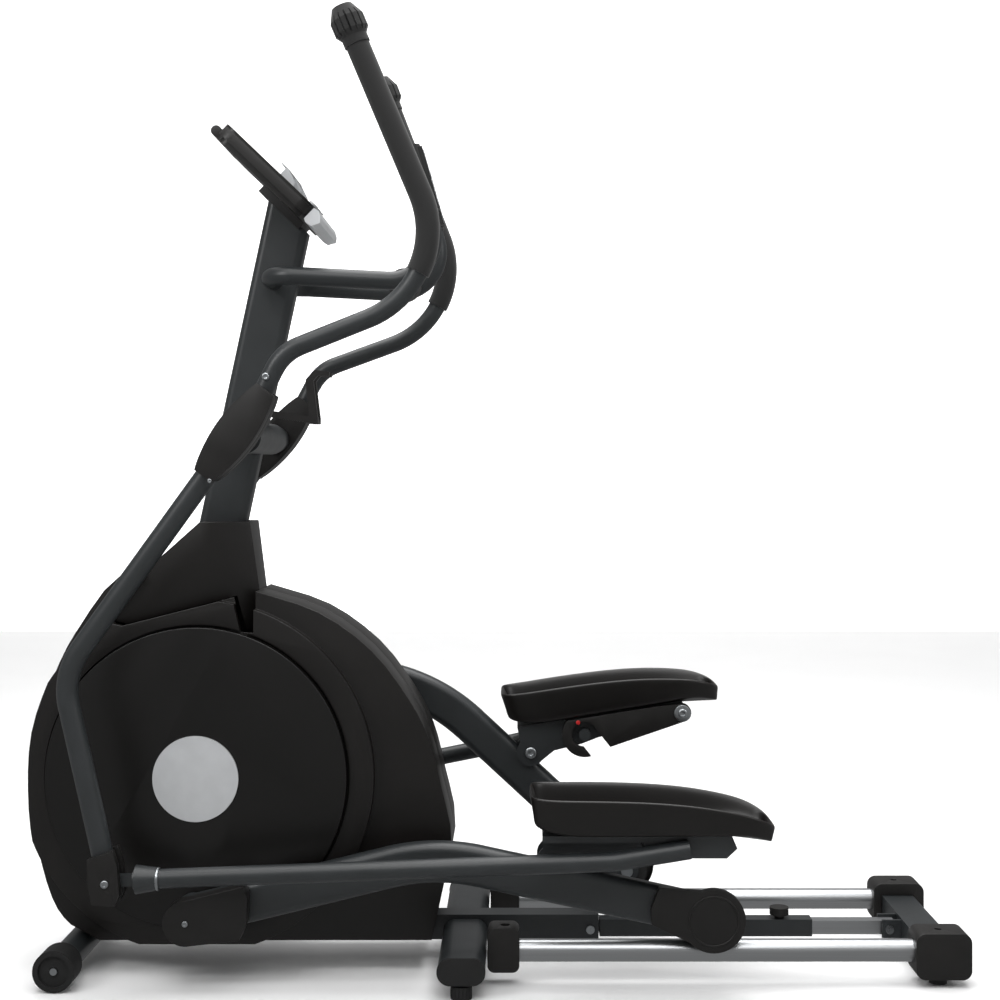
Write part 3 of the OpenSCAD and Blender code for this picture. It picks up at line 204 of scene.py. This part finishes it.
powder_coat, tree, shader, place = new_finish("powder_coated_steel")
mottled(tree, place, shader, ("#222526", "#2A2D2F"), (0.36, 0.48), 60, 3.0, 0.10)
shader.inputs["Coat Weight"].default_value = 0.15
shader.inputs["Coat Roughness"].default_value = 0.35
finish_nodes(
    powder_coat, "main_beam", "mast", "front_stabiliser", "middle_stabiliser", "rear_stabiliser",
    "strut_outer", "handlebar", "swing_axle", "left_swing_arm", "right_swing_arm",
    "left_pedal_link", "right_pedal_link", "left_roller_arm", "right_roller_arm",
)

# ---------------------------------------------------------------------------
# The rails: drawn steel tube, ground and bright chrome plated, one under each roller.
# Grinding leaves faint lines along the tube, and rolling wear shows as hazier patches.
chrome, tree, shader, place = new_finish("chromed_rail_tube")
shader.inputs["Metallic"].default_value = 1.0
along_tube = add(
    tree, "ShaderNodeMapping", values={"Scale": (4, 900, 900)}, links={"Vector": place}
)
lines = add(
    tree, "ShaderNodeTexNoise", values={"Scale": 1.0, "Detail": 3.0},
    links={"Vector": along_tube.outputs["Vector"]},
)
haze = add(
    tree, "ShaderNodeMapRange", values={"To Min": 0.24, "To Max": 0.42},
    links={"Value": lines.outputs["Fac"]},
)
tree.links.new(haze.outputs["Result"], shader.inputs["Roughness"])
worn = add(tree, "ShaderNodeMix", {"data_type": "RGBA"}, links={"Factor": lines.outputs["Fac"]})
worn.inputs["A"].default_value = linear("#B9BBBD")
worn.inputs["B"].default_value = linear("#D2D4D6")
tree.links.new(worn.outputs["Result"], shader.inputs["Base Color"])
bump_from(tree, lines.outputs["Fac"], 0.02, shader)
finish_nodes(chrome, "rails", "strut_inner")

# ---------------------------------------------------------------------------
# Bolts, axles and pins: turned steel with a bright zinc plate.
# The plate is slightly blue and clouded, and the turning leaves fine rings.
zinc, tree, shader, place = new_finish("zinc_plated_steel")
shader.inputs["Metallic"].default_value = 1.0
mottled(tree, place, shader, ("#A9ADB0", "#C4C8CA"), (0.22, 0.38), 12, 1.2, 0.03)
finish_nodes(
    zinc, "bolts", "crank_axle", "crank_bearings", "left_arm_pins", "right_arm_pins", "magnet_yoke",
)

# ---------------------------------------------------------------------------
# The housing: two injection-moulded ABS half shells, and a shroud round the foot of the mast.
# A fine spark-eroded grain on the mould gives a satin black with broad soft highlights.
sides = (("left", -1), ("right", 1))


def rounded_copy(node, name, body, material, radius_mm, rows=3, smooth_deg=35):
    """Copies a node's shape, joins its triangles, rounds its edges and takes the node's place."""
    bpy.ops.object.select_all(action="DESELECT")
    source = node_objects[node]
    piece = bpy.data.objects.new(name, source.data.copy())
    bpy.context.collection.objects.link(piece)
    piece.data.materials.clear()
    piece.data.materials.append(material)
    piece.select_set(True)
    bpy.context.view_layer.objects.active = piece
    bpy.ops.object.mode_set(mode="EDIT")
    bpy.ops.mesh.select_all(action="SELECT")
    bpy.ops.mesh.customdata_custom_splitnormals_clear()
    bpy.ops.mesh.remove_doubles(threshold=0.00002)
    bpy.ops.mesh.dissolve_limited(angle_limit=math.radians(1))
    bpy.ops.object.mode_set(mode="OBJECT")
    if radius_mm:
        bevel = piece.modifiers.new("rounded_edges", "BEVEL")
        bevel.width = radius_mm / 1000
        bevel.segments = rows
        bevel.limit_method = "ANGLE"
        bevel.angle_limit = math.radians(32)
        bpy.ops.object.modifier_apply(modifier=bevel.name)
    bpy.ops.object.shade_smooth_by_angle(angle=math.radians(smooth_deg))
    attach(piece, body)
    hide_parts(node)


satin_black, tree, shader, place = new_finish("moulded_abs_satin_black")
mottled(tree, place, shader, ("#0D0B0A", "#14110F"), (0.32, 0.42), 90, 1.6, 0.05)
shader.inputs["Specular IOR Level"].default_value = 0.5
shader.inputs["IOR"].default_value = 1.53
for side, sign in sides:
    rounded_copy(side + "_shell", side + "_housing_shell", "root", satin_black, 5)
rounded_copy("shroud", "mast_shroud", "root", satin_black, 4)

# ---------------------------------------------------------------------------
# The turning discs: moulded ABS with a smoother polish than the shells, one each side.
# A polished mould gives a deep black with a soft reflection of the room.
gloss_black, tree, shader, place = new_finish("moulded_abs_gloss_black")
mottled(tree, place, shader, ("#080706", "#0D0B0A"), (0.30, 0.38), 140, 2.2, 0.03)
shader.inputs["IOR"].default_value = 1.53
for side, sign in sides:
    rounded_copy(
        side + "_crank_disc", side + "_disc_cover", "crank", gloss_black, 2,
    )
finish_nodes(gloss_black, "console_face")

# ---------------------------------------------------------------------------
# Small mouldings: covers, boots, caps, guards and the console back, in polypropylene.
# They come from plainer moulds, so they are a little greyer and duller than the housing.
cover_black, tree, shader, place = new_finish("moulded_polypropylene")
mottled(tree, place, shader, ("#121110", "#1A1817"), (0.38, 0.50), 40, 1.4, 0.07)
for side, sign in sides:
    rounded_copy(
        side + "_arm_covers", side + "_pivot_covers", side + "_arm",
        cover_black, 6,
    )
    rounded_copy(
        side + "_arm_guards", side + "_boot_and_guard", side + "_roller_arm",
        cover_black, 4,
    )
    rounded_copy(
        side + "_latch", side + "_hook_latch", side + "_latch", cover_black, 1.5,
    )
rounded_copy("rear_caps", "rear_corner_caps", "root", cover_black, 5)
rounded_copy("front_rail_caps", "front_rail_brackets", "root", cover_black, 4)
rounded_copy("console_back", "console_back_shell", "root", cover_black, 3)
finish_nodes(
    cover_black, "strut_knob", "handlebar_pod", "brake_motor", "drive_pulley", "bottle_cage",
)

# ---------------------------------------------------------------------------
# The pedals: deep moulded trays in tough polypropylene, with a rolled rim and a low tail.
# The tray floor has raised ribs across it that hold the shoe.
joint_spots = {j["name"]: Vector(j["pos_m"]) for j in frame["joints"] if j.get("pos_m")}
link_length = 0.7348
latch_along = 0.293
latch_up = 0.023
pedal_outline = (  # distance from the pedal pivot, half width, rim height, underside height
    (-0.036, 0.046, 0.120, 0.078),
    (-0.033, 0.064, 0.120, 0.072),
    (-0.016, 0.077, 0.118, 0.062),
    (0.016, 0.081, 0.116, 0.054),
    (0.060, 0.083, 0.115, 0.051),
    (0.150, 0.083, 0.111, 0.050),
    (0.230, 0.083, 0.103, 0.048),
    (0.290, 0.081, 0.091, 0.046),
    (0.328, 0.077, 0.081, 0.044),
    (0.352, 0.068, 0.070, 0.035),
    (0.367, 0.052, 0.060, 0.028),
    (0.373, 0.034, 0.055, 0.027),
)
tray_middle_y = 0.183
tray_wall = 0.006
tray_floor = 0.008


def rest_on(piece, name, body):
    """Names a finished piece, puts its place in its mesh and lets it ride on a body."""
    bpy.ops.object.select_all(action="DESELECT")
    piece.select_set(True)
    bpy.context.view_layer.objects.active = piece
    bpy.ops.object.transform_apply(location=True, rotation=True, scale=True)
    piece.name = name
    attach(piece, body)


def link_frame(side):
    """Returns a function from a place on the pedal tube's own axes to the machine's axes."""
    knuckle = joint_spots[side + "_knuckle"]
    toward_latch = joint_spots[side + "_latch_lift"] - knuckle
    own_lean = math.atan2(latch_up, link_length + latch_along)
    tilt = math.atan2(toward_latch.z, toward_latch.x) - own_lean

    def place_point(along, across, up):
        x = (link_length + along) * math.cos(tilt) - up * math.sin(tilt)
        z = (link_length + along) * math.sin(tilt) + up * math.cos(tilt)
        return Vector((knuckle.x + x, across, knuckle.z + z))

    return place_point


def tray_loop(inward, height_of):
    """One closed loop round the tray, set inward: out along one side and back along the other."""
    last = len(pedal_outline) - 1
    rows = []
    for i, (along, half_width, rim, underside) in enumerate(pedal_outline):
        shift = inward if i == 0 else -inward if i == last else 0
        rows.append((along + shift, half_width - inward, height_of(rim, underside)))
    return [(a, -w, h) for a, w, h in rows] + [(a, w, h) for a, w, h in reversed(rows)]


def half_up_inside(rim, low):
    """The height half way up the tray's inner wall."""
    return low + tray_floor + 0.5 * max(rim - low - tray_floor, 0.001)


tray_loops = (
    tray_loop(0.030, lambda rim, low: low),
    tray_loop(0.014, lambda rim, low: low),
    tray_loop(0.008, lambda rim, low: low + 0.004),
    tray_loop(0.004, lambda rim, low: low + 0.5 * (rim - low)),
    tray_loop(0.000, lambda rim, low: rim - 0.006),
    tray_loop(0.0005, lambda rim, low: rim - 0.002),
    tray_loop(0.003, lambda rim, low: rim),
    tray_loop(tray_wall + 0.002, lambda rim, low: rim - 0.003),
    tray_loop(tray_wall + 0.006, half_up_inside),
    tray_loop(tray_wall + 0.010, lambda rim, low: low + tray_floor + 0.003),
    tray_loop(tray_wall + 0.016, lambda rim, low: low + tray_floor),
    tray_loop(0.034, lambda rim, low: low + tray_floor),
)
for side, sign in sides:
    spot = link_frame(side)
    count = len(tray_loops[0])
    bpy.ops.mesh.primitive_circle_add(vertices=count, radius=0.1)
    tray = bpy.context.object
    bpy.ops.object.mode_set(mode="EDIT")
    bpy.ops.mesh.select_all(action="SELECT")
    for step in range(len(tray_loops) - 1):
        bpy.ops.mesh.extrude_edges_indiv()
    bpy.ops.object.mode_set(mode="OBJECT")
    order = tray.data.vertices
    for step, loop in enumerate(tray_loops):
        for i, (along, across, up) in enumerate(loop):
            order[step * count + i].co = spot(along, sign * tray_middle_y + across, up)
    bpy.ops.object.mode_set(mode="EDIT")
    bpy.ops.mesh.select_all(action="SELECT")
    bpy.ops.mesh.select_mode(type="EDGE")
    bpy.ops.mesh.select_all(action="DESELECT")
    bpy.ops.mesh.select_non_manifold()
    bpy.ops.mesh.edge_face_add()
    bpy.ops.mesh.select_all(action="SELECT")
    bpy.ops.mesh.normals_make_consistent(inside=False)
    bpy.ops.object.mode_set(mode="OBJECT")
    soften = tray.modifiers.new("smooth_moulding", "SUBSURF")
    soften.levels = 2
    soften.render_levels = 2
    bpy.ops.object.modifier_apply(modifier=soften.name)
    bpy.ops.object.shade_smooth()
    tray.data.materials.append(satin_black)
    rest_on(tray, side + "_pedal_tray", side + "_pedal_arm")
    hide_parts(side + "_pedal")

rib_pitch = 0.014
rib_height = 0.0032
rib_thickness = 0.004
rib_half_width = 0.062
first_rib = 0.012
rib_count = 20
taper_start = 0.25
taper_slope = 0.35
floor_slope = 0.025
for side, sign in sides:
    spot = link_frame(side)
    bpy.ops.object.select_all(action="DESELECT")
    ribs = []
    for step in range(rib_count):
        along = first_rib + rib_pitch * step
        half_width = rib_half_width - max(along - taper_start, 0) * taper_slope
        floor_up = 0.052 - floor_slope * max(along - 0.02, 0) + tray_floor
        bpy.ops.mesh.primitive_cube_add(size=1, location=(0, 0, 0))
        rib = bpy.context.object
        for vertex in rib.data.vertices:
            low = vertex.co.z < 0
            thickness = rib_thickness if low else rib_thickness * 0.45
            reach = half_width if low else half_width - 0.002
            vertex.co = spot(
                along + vertex.co.x * thickness,
                sign * tray_middle_y + vertex.co.y * 2 * reach,
                floor_up + (-0.003 if low else rib_height),
            )
        ribs.append(rib)
    for rib in ribs:
        rib.select_set(True)
    bpy.context.view_layer.objects.active = ribs[0]
    bpy.ops.object.join()
    treads = bpy.context.object
    bpy.ops.object.mode_set(mode="EDIT")
    bpy.ops.mesh.select_all(action="SELECT")
    bpy.ops.mesh.normals_make_consistent(inside=False)
    bpy.ops.object.mode_set(mode="OBJECT")
    soften = treads.modifiers.new("rib_edges", "BEVEL")
    soften.width = 0.0008
    soften.segments = 2
    bpy.ops.object.modifier_apply(modifier=soften.name)
    bpy.ops.object.shade_smooth_by_angle(angle=math.radians(35))
    treads.data.materials.append(satin_black)
    rest_on(treads, side + "_pedal_treads", side + "_pedal_arm")

# ---------------------------------------------------------------------------
# Rubber: wheels, feet, end caps and rollers, moulded from filled black rubber.
# It is dull, with a faint bloom and a coarse grain.
rubber, tree, shader, place = new_finish("moulded_black_rubber")
mottled(tree, place, shader, ("#0E0E0E", "#181818"), (0.62, 0.78), 25, 1.8, 0.12)
finish_nodes(
    rubber, "left_transport_wheel", "right_transport_wheel", "stabiliser_caps", "levelling_feet",
    "left_roller", "right_roller",
)

# ---------------------------------------------------------------------------
# The grips: closed-cell foam sleeves slipped over the tubes, with a moulded knob on the end.
# The skin of the foam is finely pitted and almost without gloss.
foam, tree, shader, place = new_finish("closed_cell_foam")
mottled(tree, place, shader, ("#131313", "#1E1E1E"), (0.80, 0.92), 15, 1.5, 0.25)
shader.inputs["Sheen Weight"].default_value = 0.15
finish_nodes(foam, "left_grip", "right_grip", "pulse_grips")

# ---------------------------------------------------------------------------
# The hub caps and the console's bright trim: ABS painted in satin silver.
# Metal flake in the paint gives a fine sparkle under a soft clear coat.
silver_paint, tree, shader, place = new_finish("satin_silver_paint")
shader.inputs["Metallic"].default_value = 0.45
mottled(tree, place, shader, ("#C4C6C8", "#D4D6D8"), (0.34, 0.44), 30, 1.0, 0.03)
finish_nodes(silver_paint, "hub_caps", "console_trim", "key_down", "key_start", "key_up")

# ---------------------------------------------------------------------------
# Screws and pivot bolts: zinc-plated button heads with a hexagon socket, and turned washers.
# Each is pressed from wire and plated, so its rim is rounded and its socket is in shade.
def button_head(name, body, spot, radius, height, facing, material=None, socket=True):
    """A turned head on an axis along Y, seated at the spot and facing the way given."""
    bpy.ops.object.select_all(action="DESELECT")
    bpy.ops.mesh.primitive_cylinder_add(
        vertices=36, radius=radius, depth=height, rotation=(math.radians(90 * facing), 0, 0),
        location=(spot[0], spot[1] + facing * height / 2, spot[2]),
    )
    head = bpy.context.object
    bpy.ops.object.mode_set(mode="EDIT")
    bpy.ops.mesh.select_mode(type="FACE")
    bpy.ops.mesh.select_all(action="DESELECT")
    bpy.ops.object.mode_set(mode="OBJECT")
    turn = head.matrix_world.to_3x3()
    outer = max(head.data.polygons, key=lambda face: (turn @ face.normal).y * facing)
    outer.select = True
    bpy.ops.object.mode_set(mode="EDIT")
    bpy.ops.mesh.inset(thickness=radius * 0.18, depth=height * 0.25)
    if socket:
        bpy.ops.mesh.inset(thickness=radius * 0.36, depth=0)
        bpy.ops.mesh.inset(thickness=radius * 0.02, depth=-height * 0.55)
    bpy.ops.object.mode_set(mode="OBJECT")
    edge = head.modifiers.new("rounded_rim", "BEVEL")
    edge.width = min(radius, height) * 0.12
    edge.segments = 2
    edge.angle_limit = math.radians(30)
    bpy.ops.object.modifier_apply(modifier=edge.name)
    bpy.ops.object.shade_smooth_by_angle(angle=math.radians(40))
    head.data.materials.append(material or zinc)
    rest_on(head, name, body)


def swing_spot(side, along_x, up_z):
    """A place fixed to the swing arm, given where it lies on the left arm at rest."""
    pivot = joint_spots[side + "_swing"]
    left_pivot = joint_spots["left_swing"]
    left_foot = joint_spots["left_knuckle"] - left_pivot
    foot = joint_spots[side + "_knuckle"] - pivot
    turned = math.atan2(foot.z, foot.x) - math.atan2(left_foot.z, left_foot.x)
    dx, dz = along_x - left_pivot.x, up_z - left_pivot.z
    return Vector((
        pivot.x + dx * math.cos(turned) - dz * math.sin(turned),
        0,
        pivot.z + dx * math.sin(turned) + dz * math.cos(turned),
    ))


crank_centre = joint_spots["crank_spin"]
crank_throw = 0.225
for side, sign in sides:
    knuckle = joint_spots[side + "_knuckle"]
    cover = swing_spot(side, -0.4615, 0.854)
    lever = swing_spot(side, -0.372, 1.025)
    pedal_pivot = link_frame(side)(0, 0, 0)
    hook = joint_spots[side + "_latch_lift"]
    crank_pin = crank_centre + Vector((0, 0, sign * crank_throw))
    heads = (  # name, body, place, seat from the middle, radius, height, way it faces, socket
        ("_knuckle_screw", "_arm", knuckle, 0.2655, 0.0065, 0.0030, sign, True),
        ("_cover_screw", "_arm", cover, 0.2685, 0.0035, 0.0014, sign, True),
        ("_lever_bolt", "_arm", lever, 0.2545, 0.0062, 0.0040, sign, True),
        ("_pedal_bolt_outer", "_pedal_arm", pedal_pivot, 0.1925, 0.0078, 0.0030, sign, True),
        ("_pedal_bolt_inner", "_pedal_arm", pedal_pivot, 0.1275, 0.0105, 0.0040, -sign, True),
        ("_latch_washer", "_pedal_arm", hook, 0.1085, 0.0155, 0.0020, -sign, False),
        ("_latch_bolt", "_pedal_arm", hook, 0.1065, 0.0085, 0.0040, -sign, True),
        ("_boot_screw", "_roller_arm", crank_pin, 0.2128, 0.0050, 0.0020, sign, True),
    )
    for name, body, place_at, seat_y, radius, height, facing, socket in heads:
        seat = (place_at.x, sign * seat_y, place_at.z)
        button_head(side + name, side + body, seat, radius, height, facing, socket=socket)

# ---------------------------------------------------------------------------
# The red release button on each hook: a small moulded nylon tab pressed into the latch.
# Nylon takes a bright, slightly translucent red with a soft shine.
red_nylon, tree, shader, place = new_finish("moulded_red_nylon")
mottled(tree, place, shader, ("#B3161A", "#C8201F"), (0.34, 0.44), 8, 0.9, 0.03)
shader.inputs["Subsurface Weight"].default_value = 0.08
latch_face_y = 0.1125
for side, sign in sides:
    seat = link_frame(side)(0.098, sign * latch_face_y, 0.042)
    button_head(
        side + "_release_button", side + "_latch", seat, 0.004, 0.003, -sign,
        red_nylon, socket=False,
    )

# ---------------------------------------------------------------------------
# Rings: a plated collar behind each knuckle boot, a trim ring on each end of the handlebar pod,
# and the raised bead that is moulded on the face of each roller guard.
def strip_ring(name, body, material, centre, turn, radius, thickness, width):
    """A ring with a flattened round section, set at its centre and turned to its axis."""
    bpy.ops.object.select_all(action="DESELECT")
    bpy.ops.mesh.primitive_torus_add(
        major_radius=radius, minor_radius=thickness / 2, major_segments=64, minor_segments=12,
    )
    ring = bpy.context.object
    bpy.ops.object.mode_set(mode="EDIT")
    bpy.ops.mesh.select_all(action="SELECT")
    bpy.ops.transform.resize(value=(1, 1, width / thickness))
    bpy.ops.object.mode_set(mode="OBJECT")
    bpy.ops.object.shade_smooth()
    ring.location = centre
    ring.rotation_euler = turn
    ring.data.materials.append(material)
    rest_on(ring, name, body)


collar_along = 0.082
boot_rail_y = 0.240
pod_along = crank_centre.x + 0.352
pod_height = 1.203
pod_end_y = 0.0258
guard_face_y = 0.1940
across_machine = (math.radians(90), 0, 0)
for side, sign in sides:
    spot = link_frame(side)
    centre = spot(collar_along - link_length, sign * boot_rail_y, 0)
    way = spot(0, sign * boot_rail_y, 0) - centre
    along_tube = (0, math.atan2(way.x, way.z), 0)
    strip_ring(
        side + "_tube_collar", side + "_pedal_arm", zinc,
        centre, along_tube, 0.0172, 0.0044, 0.0060,
    )
    strip_ring(
        side + "_pod_ring", "root", silver_paint,
        (pod_along, sign * pod_end_y, pod_height), across_machine, 0.0208, 0.0032, 0.0040,
    )
    axle = joint_spots[side + "_roller_spin"]
    strip_ring(
        side + "_guard_bead", side + "_roller_arm", cover_black,
        (axle.x, sign * guard_face_y, axle.z), across_machine, 0.0415, 0.0040, 0.0030,
    )

# ---------------------------------------------------------------------------
# The pulse plates: two pressed stainless strips let into the pad of each fixed grip.
# They face the user, and brushing along their length gives a soft streaked shine.
stainless, tree, shader, place = new_finish("brushed_stainless_strip")
shader.inputs["Metallic"].default_value = 1.0
mottled(tree, place, shader, ("#B5B7B9", "#CBCDCF"), (0.24, 0.36), 9, 0.8, 0.02)
grip_tip = Vector((crank_centre.x + 0.368, 0, 1.427))
grip_lean = math.atan2(0.065, 0.232)
grip_y = 0.098
pad_face = 0.0218
plate_thickness = 0.0016
plate_length = 0.047
plate_width = 0.019
for side, sign in sides:
    for part, low in (("lower", -0.106), ("upper", -0.053)):
        bpy.ops.object.select_all(action="DESELECT")
        bpy.ops.mesh.primitive_cube_add(size=1)
        plate = bpy.context.object
        for vertex in plate.data.vertices:
            out = pad_face + (vertex.co.x + 0.5) * plate_thickness
            up = low + (vertex.co.z + 0.5) * plate_length
            vertex.co = (
                grip_tip.x + out * math.cos(grip_lean) - up * math.sin(grip_lean),
                sign * grip_y + vertex.co.y * plate_width,
                grip_tip.z + out * math.sin(grip_lean) + up * math.cos(grip_lean),
            )
        edge = plate.modifiers.new("rolled_edge", "BEVEL")
        edge.width = 0.0007
        edge.segments = 3
        bpy.ops.object.modifier_apply(modifier=edge.name)
        bpy.ops.object.shade_smooth_by_angle(angle=math.radians(40))
        plate.data.materials.append(stainless)
        rest_on(plate, side + "_pulse_plate_" + part, "root")

# ---------------------------------------------------------------------------
# The console screen: a liquid-crystal pane behind clear acrylic, let into the face.
# Switched off it is a dark olive grey, with its cells drawn coarse enough to show faintly.
screen_pane, tree, shader, place = new_finish("acrylic_over_lcd")
cells_per_metre = 240.0
cells = add(
    tree, "ShaderNodeTexVoronoi", {"feature": "DISTANCE_TO_EDGE"},
    {"Scale": cells_per_metre}, {"Vector": place},
)
faint = add(
    tree, "ShaderNodeMapRange", values={"From Max": 0.12},
    links={"Value": cells.outputs["Distance"]},
)
tint = add(tree, "ShaderNodeMix", {"data_type": "RGBA"}, links={"Factor": faint.outputs["Result"]})
tint.inputs["A"].default_value = linear("#23282A")
tint.inputs["B"].default_value = linear("#2E3632")
tree.links.new(tint.outputs["Result"], shader.inputs["Base Color"])
shader.inputs["Roughness"].default_value = 0.12
shader.inputs["Coat Weight"].default_value = 0.6
face_low, face_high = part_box("console_face")
face_tilt = math.radians(43.7)
face_origin = Vector((face_low[0] + 0.00345, 0, face_high[2]))
pane_start = 0.017
pane_length = 0.090
pane_width = 0.148
pane_sunk = 0.0025
pane_thickness = 0.0016
bpy.ops.object.select_all(action="DESELECT")
bpy.ops.mesh.primitive_cube_add(size=1)
pane = bpy.context.object
for vertex in pane.data.vertices:
    down = pane_start + (vertex.co.x + 0.5) * pane_length
    out = (vertex.co.z + 0.5) * pane_thickness - pane_sunk
    vertex.co = (
        face_origin.x + down * math.cos(face_tilt) + out * math.sin(face_tilt),
        vertex.co.y * pane_width,
        face_origin.z - down * math.sin(face_tilt) + out * math.cos(face_tilt),
    )
edge = pane.modifiers.new("polished_edge", "BEVEL")
edge.width = 0.0006
edge.segments = 2
bpy.ops.object.modifier_apply(modifier=edge.name)
bpy.ops.object.shade_smooth_by_angle(angle=math.radians(40))
pane.data.materials.append(screen_pane)
rest_on(pane, "screen_pane", "root")

# ---------------------------------------------------------------------------
# Inside the housing: a turned cast-iron flywheel and its ribbed belt.
# The iron keeps the lathe's rings, and the belt is dull and ribbed along its length.
cast_iron, tree, shader, place = new_finish("turned_cast_iron")
shader.inputs["Metallic"].default_value = 0.9
mottled(tree, place, shader, ("#4A4A4C", "#5C5C5E"), (0.40, 0.55), 20, 2.0, 0.1)
finish_nodes(cast_iron, "flywheel")
belt_rubber, tree, shader, place = new_finish("ribbed_drive_belt")
mottled(tree, place, shader, ("#0B0B0B", "#141414"), (0.6, 0.7), 10, 1.5, 0.1)
finish_nodes(belt_rubber, "belt")
